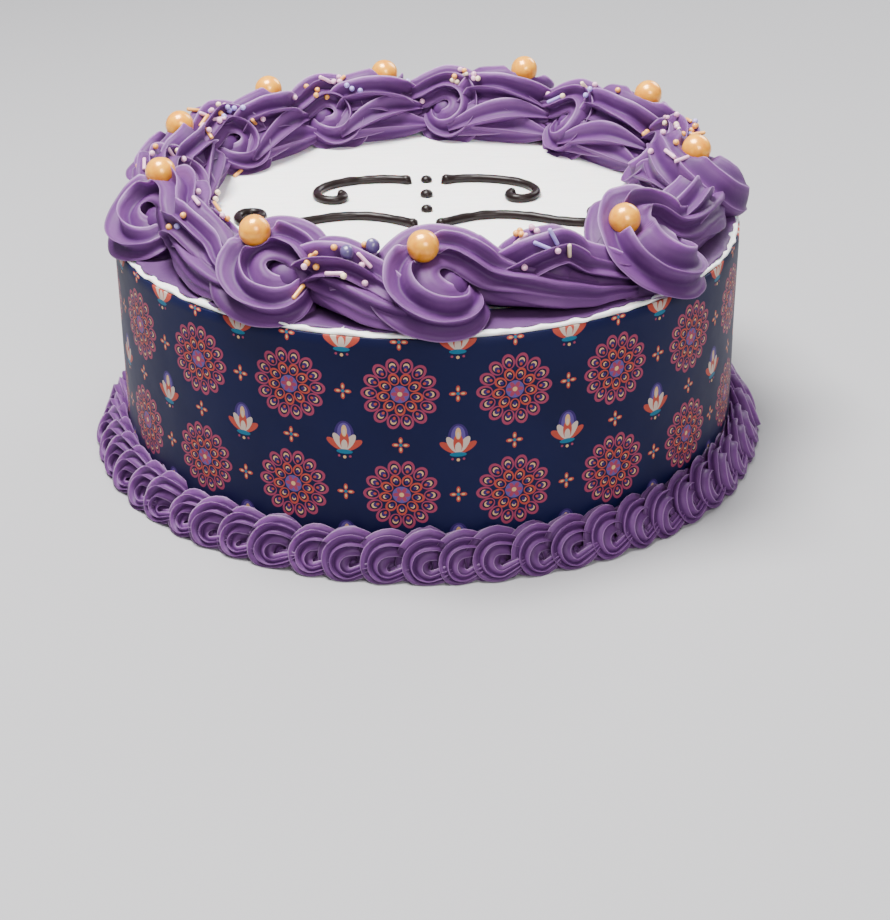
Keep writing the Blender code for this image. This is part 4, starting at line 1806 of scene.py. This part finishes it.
@dataclass(frozen=True)
class Sugar:
    """One kind of sprinkle in one colour, and the picture points where it lies.

    Attributes:
        name: name of the piece.
        kind: its shape.
        tint: its colour.
        deep: the darker tone in it.
        spots: (x, y) of a ball or lump, or (x, y, x, y) of the two ends of a rod, in pixels of the frame.
        spare: how many more lie on the outer side of the ring, where the picture doesn't reach.
    """

    name: str
    kind: SprinkleKind
    tint: Colour
    deep: Colour
    spots: tuple[tuple[float, ...], ...]
    spare: int = 0


GOLD = ((0.90, 0.42, 0.09), (0.78, 0.32, 0.05))
PINK = ((0.80, 0.46, 0.62), (0.72, 0.36, 0.54))
LILAC = ((0.40, 0.33, 0.72), (0.32, 0.25, 0.62))
CREAM = ((0.92, 0.74, 0.50), (0.86, 0.64, 0.40))
INDIGO = ((0.080, 0.055, 0.165), (0.055, 0.036, 0.125))
SUGARS = (
    Sugar("gold_balls", SprinkleKind.BALL, *GOLD, (
        (308, 261), (313, 256), (317, 265), (335, 247), (364, 239.5), (521, 231), (523, 235), (518, 234),
        (185, 215), (170, 229), (153.5, 147), (234, 211), (318, 91.6), (317, 96.7), (326.5, 97), (465, 70.6),
        (455, 75), (685, 135), (692, 132), (676, 144), (700, 124), (619, 91), (220, 115)), 10),
    Sugar("gold_rods", SprinkleKind.ROD, *GOLD, (
        (292, 300, 304, 284.5), (310, 260, 319, 252), (213, 203, 221, 213), (230.6, 199, 246, 184.5),
        (202, 127, 208, 116), (249, 115, 258, 127), (683, 113, 696, 121.5)), 5),
    Sugar("cream_balls", SprinkleKind.BALL, *CREAM, (
        (343, 278), (220, 194), (220, 201), (176, 150), (667, 122), (453, 80), (457, 83), (479, 78)), 6),
    Sugar("cream_rods", SprinkleKind.ROD, *CREAM, ((569, 243, 569, 256),), 3),
    Sugar("pink_rods", SprinkleKind.ROD, *PINK, (
        (325, 275, 344, 275), (355, 250, 374, 270), (510, 249, 533, 230), (188, 190, 206, 213),
        (166, 147, 175, 161), (144, 157, 144, 173), (319.4, 76, 330.6, 81.4), (666, 150, 676, 158),
        (676, 162, 687, 158)), 5),
    Sugar("lilac_rods", SprinkleKind.ROD, *LILAC, ((549, 229, 557, 244), (536, 243, 548, 248)), 3),
    Sugar("pink_balls", SprinkleKind.BALL, *PINK, (
        (364, 285), (362, 265), (307, 261), (532, 228), (537, 232), (557, 249), (524, 265.6), (196, 191.6),
        (231.6, 205), (183, 157), (150, 154), (333.7, 80.4), (339.8, 80.4), (293, 96.7), (262, 117.6),
        (461, 69.5), (475, 73.4), (476, 77), (423, 102), (600.6, 80.4), (662, 134), (650, 153),
        (678.6, 111)), 12),
    Sugar("lilac_balls", SprinkleKind.BALL, *LILAC, (
        (347, 84.5), (352, 88), (360, 90.6), (226.5, 106), (233.7, 107), (228.6, 110), (242, 107),
        (224.5, 118), (179, 225.7), (591.5, 88.6), (587, 95), (708, 115.7)), 8),
    Sugar("lilac_lumps", SprinkleKind.LUMP, *INDIGO, ((347.5, 250.5), (376, 242.5))),
)


@dataclass
class Sprinkles:
    """The sugar rods, balls and lumps that lie on the swirls.

    Attributes:
        rod: radius and length of a rod, mm.
        rod_sides: points round a rod.
        rod_cap: rings of its rounded end.
        rod_dome: height of that end, as a share of its radius.
        rod_waist: radius along a rod, as shares of its own.
        rod_parts: the part of its length, one in so many, at which those lie from its middle.
        rod_spread: how much rods differ in length.
        ball: radius of a ball, mm.
        lump: radius of a lump, mm.
        ball_sides: points round a ball or lump.
        ball_rows: rings of a ball or lump.
        uneven: unevenness of each round kind and the size of its waves, mm.
        rest: height of a sprinkle's middle over the icing, in radii.
        clearance: distance between two that touch, as a share of their radii together.
        pearl_room: radius kept free round the middle of a pearl, mm.
        rough: roughness of their sugar.
        search: widest distance and step, in pixels, and directions in which a lost spot is looked for.
        slant: steepest sight line over the icing that turns a rod, as a cosine.
        spare_units: units of the ring whose outer side the picture doesn't show, first and past the last.
        spare_run: where on them the spare ones fall along the ring, as shares of the pitch.
        spare_reach: the same across it, mm.
        spare_drop: height from which they fall, mm.
        spare_level: least slope of the icing that holds them, as a cosine.
        spare_height: least height over the cake's top at which they lie, mm.
        spare_tip: how far a rod among them points up, before it is laid flat.
        stride: what sets the unevenness of one sprinkle apart from the next.
        seed: seed of what lies on the outer side.
    """

    rod: Pair = (0.66, 5.9)
    rod_sides: int = 12
    rod_cap: int = 5
    rod_dome: float = 0.8
    rod_waist: Pair = (0.96, 0.97)
    rod_parts: int = 6
    rod_spread: float = 0.12
    ball: float = 0.98
    lump: float = 2.1
    ball_sides: int = 16
    ball_rows: int = 11
    uneven: dict[SprinkleKind, Pair] = field(default_factory=lambda: {
        SprinkleKind.BALL: (0.06, 1.0), SprinkleKind.LUMP: (0.7, 3.6)})
    rest: float = 0.72
    clearance: float = 0.9
    pearl_room: float = 4.9
    rough: float = 0.34
    search: tuple[int, int, int] = (60, 2, 8)
    slant: float = -0.35
    spare_units: tuple[int, int] = (2, 8)
    spare_run: Pair = (0.35, 0.85)
    spare_reach: Pair = (-4, 12)
    spare_drop: float = 60.0
    spare_level: float = 0.35
    spare_height: float = 4.0
    spare_tip: float = 0.1
    stride: float = 7.3
    seed: int = 9

    def radius(self, kind: SprinkleKind) -> float:
        """Return the radius of a kind, mm."""
        sizes = {SprinkleKind.ROD: self.rod[0], SprinkleKind.BALL: self.ball, SprinkleKind.LUMP: self.lump}
        return sizes[kind]

    def shape(self, kind: SprinkleKind, seed: float) -> tuple[np.ndarray, list[Face]]:
        """Shape one sprinkle.

        Args:
            kind: its kind.
            seed: makes it its own.

        Returns:
            The points in mm, lengthwise along Z, and the faces.
        """
        radius = self.radius(kind)
        if kind is not SprinkleKind.ROD:
            angles = np.linspace(0, math.pi, self.ball_rows)
            arc = [(radius * math.sin(a), -radius * math.cos(a)) for a in angles]
            points, faces = turned(arc, self.ball_sides)
            return roughen(points * MM, *self.uneven[kind], seed) / MM, faces
        length = self.rod[1] * (1 + self.rod_spread * noise.noise(Vector((seed, 0, 0))))
        lower = []
        for a in np.linspace(0, math.pi / 2, self.rod_cap):
            lower.append((radius * math.sin(a), radius * self.rod_dome * (1 - math.cos(a)) - length / 2))
        upper = [(r, -z) for r, z in reversed(lower)]
        place = length / self.rod_parts
        waist = [(radius * share, place * side) for share, side in zip(self.rod_waist, (-1, 1))]
        return turned(lower + waist + upper, self.rod_sides)

    def lay(self, kind: SprinkleKind, spot: tuple[Vector, Vector, Vector],
            placed: list[tuple[Vector, float]]) -> Matrix:
        """Find how one sprinkle lies on the icing.

        Args:
            kind: its kind.
            spot: where it touches, in metres, the direction out of the icing and that of a rod.
            placed: middles and radii of what already lies there; the new one is added.

        Returns:
            Its placement.
        """
        hit, normal, along = spot
        radius = self.radius(kind)
        centre = hit + normal * radius * self.rest * MM
        for other, reach in placed:
            gap = (centre - other).length - (radius + reach) * self.clearance * MM
            if gap < 0:
                centre -= normal * gap
        placed.append((centre, radius))
        turn = Matrix.Identity(3)
        if kind is SprinkleKind.ROD:
            along = (along - normal * along.dot(normal)).normalized()
            turn = Matrix((along.cross(normal), normal, along)).transposed()
        return Matrix.Translation(centre) @ turn.to_4x4()

    def seen(self, tree: BVHTree, studio: "Studio", view: bpy.types.Object,
             spot: tuple[float, ...]) -> tuple[Vector, Vector, Vector]:
        """Find where the sight line through a picture point meets the icing.

        Args:
            tree: search tree of the icing.
            studio: the camera's sizes.
            view: the camera.
            spot: the picture point, or the two ends of a rod.

        Returns:
            The point, the normal and the direction of a rod there.
        """
        x, y = (spot[0] + spot[-2]) / 2, (spot[1] + spot[-1]) / 2
        widest, step, turns = self.search
        for reach, turn in itertools.product(range(0, widest, step), range(turns)):
            angle = math.tau * turn / turns
            start, heading = studio.ray(view, x + reach * math.cos(angle), y + reach * math.sin(angle))
            hit, normal, _, _ = tree.ray_cast(start, heading)
            if hit is not None:
                break
        ahead = Vector((1, 0, 0))
        if len(spot) == 4:
            ends = [studio.ray(view, spot[k], spot[k + 1])[1] for k in (0, 2)]
            ahead = (ends[1] - ends[0]).normalized()
            ahead = ahead - heading * ahead.dot(normal) / min(self.slant, heading.dot(normal))
        return hit, normal, ahead

    def scattered(self, tree: BVHTree, ring: SwirlRing, count: int,
                  dice: random.Random) -> list[tuple[Vector, Vector, Vector]]:
        """Drop sprinkles on the outer side of the ring.

        Args:
            tree: search tree of the icing.
            ring: the ring.
            count: how many.
            dice: source of their places.

        Returns:
            The point, the normal and the direction of a rod at each.
        """
        found = []
        while len(found) < count:
            index = dice.randrange(*self.spare_units)
            run = dice.uniform(*self.spare_run) * ring.pitch(index)
            place = np.array([[run, dice.uniform(*self.spare_reach), self.spare_drop]])
            above = Vector(ring.seat.bend(place, ring.units[index].azimuth)[0])
            hit, normal, _, _ = tree.ray_cast(above, Vector((0, 0, -1)))
            if hit is None or normal.z <= self.spare_level or hit.z <= (CAKE_HEIGHT + self.spare_height) * MM:
                continue
            ahead = Vector((dice.uniform(-1, 1), dice.uniform(-1, 1), self.spare_tip))
            found.append((hit, normal, ahead))
        return found

    def build(self, ring: SwirlRing, studio: "Studio", view: bpy.types.Object) -> list[bpy.types.Object]:
        """Lay every kind as one piece.

        Args:
            ring: the ring that they lie on.
            studio: the camera's sizes.
            view: the camera.

        Returns:
            The pieces.
        """
        tree = ring.surface()
        dice = random.Random(self.seed)
        placed = [(Vector(ring.pearl_place(unit)[0]), self.pearl_room) for unit in ring.units]
        made = []
        for sugar in SUGARS:
            spots = [self.seen(tree, studio, view, spot) for spot in sugar.spots]
            spots += self.scattered(tree, ring, sugar.spare, dice)
            points, faces, count = [], [], 0
            for k, spot in enumerate(spots):
                raw, sides = self.shape(sugar.kind, self.stride * k + len(sugar.name))
                matrix = self.lay(sugar.kind, spot, placed)
                points.append(np.array([matrix @ Vector(p * MM) for p in raw]))
                faces += [tuple(count + i for i in side) for side in sides]
                count += len(raw)
            piece = mesh_object(f"sprinkled_{sugar.name}", np.vstack(points), faces)
            finish = SugarShine(sugar.name, sugar.tint, sugar.deep, metal=0.0, rough=self.rough)
            piece.data.materials.append(finish.material())
            made.append(piece)
        return made


@dataclass(frozen=True)
class Lamp:
    """A square soft light that faces the cake.

    Attributes:
        name: its name.
        place: where it hangs, metres.
        size: its side, metres.
        power: watts.
        tint: colour of its light.
        aim: height over the floor that it faces, metres.
    """

    name: str
    place: Point
    size: float
    power: float
    tint: Colour = (1, 1, 1)
    aim: float = 0.06

    def hang(self) -> None:
        """Hang the lamp."""
        data = bpy.data.lights.new(self.name, "AREA")
        data.shape = "SQUARE"
        data.size = self.size
        data.energy = self.power
        data.color = self.tint
        made = bpy.data.objects.new(self.name, data)
        made.location = self.place
        sight = Vector((0, 0, self.aim)) - Vector(self.place)
        made.rotation_euler = sight.to_track_quat("-Z", "Y").to_euler()
        bpy.context.scene.collection.objects.link(made)


@dataclass
class Studio:
    """The plain floor, the soft lights and the camera at the photograph's angle.

    Attributes:
        focal_px: focal length in pixels of the frame.
        distance: from the camera to the point that it circles, metres.
        aim_height: height of that point, metres.
        elevation: of the camera over it, degrees.
        yaw: further turn of the camera to the right, degrees.
        pitch: further turn up, degrees.
        roll: further turn round its sight line, degrees.
        sensor: width of its sensor, mm.
        near: nearest distance that it shows, metres.
        floor_half: half the floor's side, metres.
        floor_tint: colour of the floor.
        sky_tint: colour of the light all round.
        sky_strength: its strength.
        lamps: the soft lights.
    """

    focal_px: float = 2085.838
    distance: float = 0.700
    aim_height: float = 0.050
    elevation: float = 22.387
    yaw: float = 0.422
    pitch: float = -4.79
    roll: float = -0.628
    sensor: float = 36.0
    near: float = 0.02
    floor_half: float = 3.0
    floor_tint: Colour = (0.34, 0.34, 0.355)
    sky_tint: Colour = (0.75, 0.76, 0.8)
    sky_strength: float = 0.58
    lamps: tuple[Lamp, ...] = (
        Lamp("key", (-0.22, -0.02, 1.0), 0.45, 36.0, (1.0, 0.98, 0.96)),
        Lamp("front", (0.35, -1.1, 0.75), 0.5, 11.0, (1.0, 0.97, 0.93)),
        Lamp("rim", (0.6, 0.8, 0.6), 0.5, 7.0),
    )

    def camera(self) -> bpy.types.Object:
        """Place the camera."""
        height = math.radians(self.elevation)
        rise = self.aim_height + self.distance * math.sin(height)
        place = Vector((0, -self.distance * math.cos(height), rise))
        ahead = Vector((0, math.cos(height), -math.sin(height)))
        right = Vector((1, 0, 0))
        up = right.cross(ahead)
        ahead, right = swung(ahead, right, self.yaw)
        ahead, up = swung(ahead, up, self.pitch)
        right, up = swung(right, up, self.roll)
        data = bpy.data.cameras.new("photo_view")
        data.sensor_fit = "AUTO"
        data.sensor_width = self.sensor
        data.lens = self.focal_px * self.sensor / max(PHOTO_SIZE)
        data.clip_start = self.near
        made = bpy.data.objects.new("photo_view", data)
        made.matrix_world = Matrix.Translation(place) @ Matrix((right, up, -ahead)).transposed().to_4x4()
        bpy.context.scene.collection.objects.link(made)
        bpy.context.scene.camera = made
        return made

    def ray(self, view: bpy.types.Object, x: float, y: float) -> tuple[Vector, Vector]:
        """Find the sight line through a pixel of the frame.

        Args:
            view: the camera.
            x: pixels from the left edge.
            y: pixels from the top edge.

        Returns:
            Its start and its heading.
        """
        heading = Vector((x - PHOTO_SIZE[0] / 2, PHOTO_SIZE[1] / 2 - y, -self.focal_px)).normalized()
        return view.matrix_world.translation.copy(), (view.matrix_world.to_3x3() @ heading).normalized()

    def build(self) -> bpy.types.Object:
        """Set up the floor, lights and camera, and return the camera."""
        signs = ((-1, -1), (1, -1), (1, 1), (-1, 1))
        corners = [(x * self.floor_half, y * self.floor_half, 0) for x, y in signs]
        floor = mesh_object("floor", np.array(corners, float), [(0, 1, 2, 3)])
        shader = Shader("floor")
        shader.set(Base_Color=self.floor_tint, Roughness=0.7)
        floor.data.materials.append(shader.material)
        for lamp in self.lamps:
            lamp.hang()
        world = bpy.data.worlds.new("studio")
        bpy.context.scene.world = world
        world.use_nodes = True
        sky = world.node_tree.nodes["Background"].inputs
        sky["Color"].default_value = (*self.sky_tint, 1)
        sky["Strength"].default_value = self.sky_strength
        return self.camera()


def swung(first: Vector, second: Vector, degrees: float) -> tuple[Vector, Vector]:
    """Turn two directions at right angles in their own plane.

    Args:
        first: the direction that swings towards the second.
        second: the direction that swings away from the first.
        degrees: the angle.

    Returns:
        The two turned directions.
    """
    cos, sin = math.cos(math.radians(degrees)), math.sin(math.radians(degrees))
    return first * cos + second * sin, second * cos - first * sin


def ride(piece: bpy.types.Object, slot: str, *nodes: str) -> None:
    """Attach a piece to the part and hide the solids that it stands for.

    Args:
        piece: the piece.
        slot: its material slot; not used.
        nodes: the solids.
    """
    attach(piece, BODY)
    if nodes:
        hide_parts(*nodes)
    log.info("%s: %d faces for %s", piece.name, len(piece.data.polygons), ", ".join(nodes) or "itself")


UNITS = (
    SwirlUnit(
        -90.8,
        replace(
            HEAD.grown(1.04), droop=0.9, pivot=(7.0, 3.0, 10.0),
            tail=((0.32, -1.0, 10.0), (0.5, 4.5, 7.5), (0.7, 8.0, 4.5), (0.95, 10.0, 2.5)),
            tail_radii=((0, 9.2), (0.35, 8.6), (0.7, 6.8), (1, 3.0)),
        ),
        replace(LINK.grown(1.04), pivot=(0.62, 5.0, 9.0)),
        (0.0, 1.0, 21.6),
    ),
    SwirlUnit(
        -47.9,
        replace(
            HEAD.grown(1.14), pivot=(12.5, 3.6, 9.8), lean=6, blunt=0.7, fade=0.6,
            tail=((0.36, 1.5, 9.5), (0.56, 4.0, 8.0), (0.78, 5.0, 6.0), (1.0, 4.0, 4.0)),
        ),
        replace(
            LINK, pivot=(0.60, 4.0, 7.4), nozzle=Nozzle(9, 0.32),
            tail=((0.74, -2.0, 8.4), (0.86, -4.0, 6.0), (0.97, -4.0, 3.6)),
            tail_radii=((0, 8.2), (0.4, 7.0), (0.75, 5.0), (1, 1.5)),
        ),
    ),
    SwirlUnit(-1.2, replace(HEAD.grown(1.04), nozzle=Nozzle(9, 0.40), blunt=1.0, fade=3.0), LINK.grown(1.02)),
    SwirlUnit(32.5, replace(HEAD, pivot=(9.0, 5.0, 11.3)), LINK, (0.0, 5.0, 23.6)),
    SwirlUnit(66.5, replace(HEAD.grown(0.98), pivot=(9.0, 4.5, 10.6)), LINK.grown(0.98), (0.0, 3.0, 23.0)),
    SwirlUnit(99.7, HEAD.grown(0.98), LINK.grown(0.98)),
    SwirlUnit(129.2, HEAD.grown(0.97), LINK.grown(0.97)),
    SwirlUnit(160.9, HEAD.grown(0.96), LINK.grown(0.96)),
    SwirlUnit(
        -167.4,
        replace(
            HEAD.grown(1.02), pivot=(12.0, 3.0, 9.5),
            tail=((0.40, -1.0, 9.5), (0.60, 4.0, 7.5), (0.82, 8.0, 5.0), (1.0, 9.0, 3.5)),
        ),
        LINK.grown(1.02),
        (0.0, 0.0, 20.9),
    ),
    SwirlUnit(
        -125.3,
        replace(
            HEAD, pivot=(11.0, 3.5, 9.5),
            tail=((0.40, -1.0, 9.5), (0.60, 4.5, 7.5), (0.82, 9.0, 4.5), (1.0, 10.0, 3.0)),
        ),
        LINK,
    ),
)
# Its groove tone is painted shade and its crest tone a painted highlight.
PURPLE = Buttercream(
    "purple_icing", body=(0.106, 0.036, 0.143), groove=(0.062, 0.015, 0.094), crest=(0.240, 0.120, 0.300))
FILM = Buttercream(
    "smeared_icing", body=(0.105, 0.042, 0.140), groove=(0.085, 0.034, 0.115), crest=(0.15, 0.07, 0.19))
GOLD_PEARL = SugarShine("gold_pearl", tint=(1.0, 0.44, 0.014), deep=(0.84, 0.28, 0.004), metal=0.2)


def main() -> None:
    """Build the cake piece by piece."""
    logging.basicConfig(level=logging.INFO, format="%(name)s: %(message)s")
    noise.seed_set(NOISE_SEED)
    studio = Studio()
    view = studio.build()
    purple, gold = PURPLE.material(), GOLD_PEARL.material()
    ride(CakeBody().build(), "white_icing", "cake_body")
    ring = SwirlRing(UNITS)
    for index, piece in enumerate(ring.build(purple)):
        ride(piece, "purple_icing", f"swirl_{index + 1:02d}")
    for index, piece in enumerate(Pearls().build(ring, gold)):
        ride(piece, "gold_pearl", f"pearl_{index + 1:02d}")
    for piece in Sprinkles().build(ring, studio, view):
        ride(piece, "gold_pearl")
    ride(Smear().build(FILM.material()), "purple_icing")
    ride(ShellBorder().build(purple), "purple_icing", "shell_border")
    ride(PrintedWrap().build(), "printed_wrap", "wrap")
    for node, piece in Scrollwork().build(DarkIcing().material()).items():
        ride(piece, "chocolate", node)


if __name__ == "__main__":
    main()
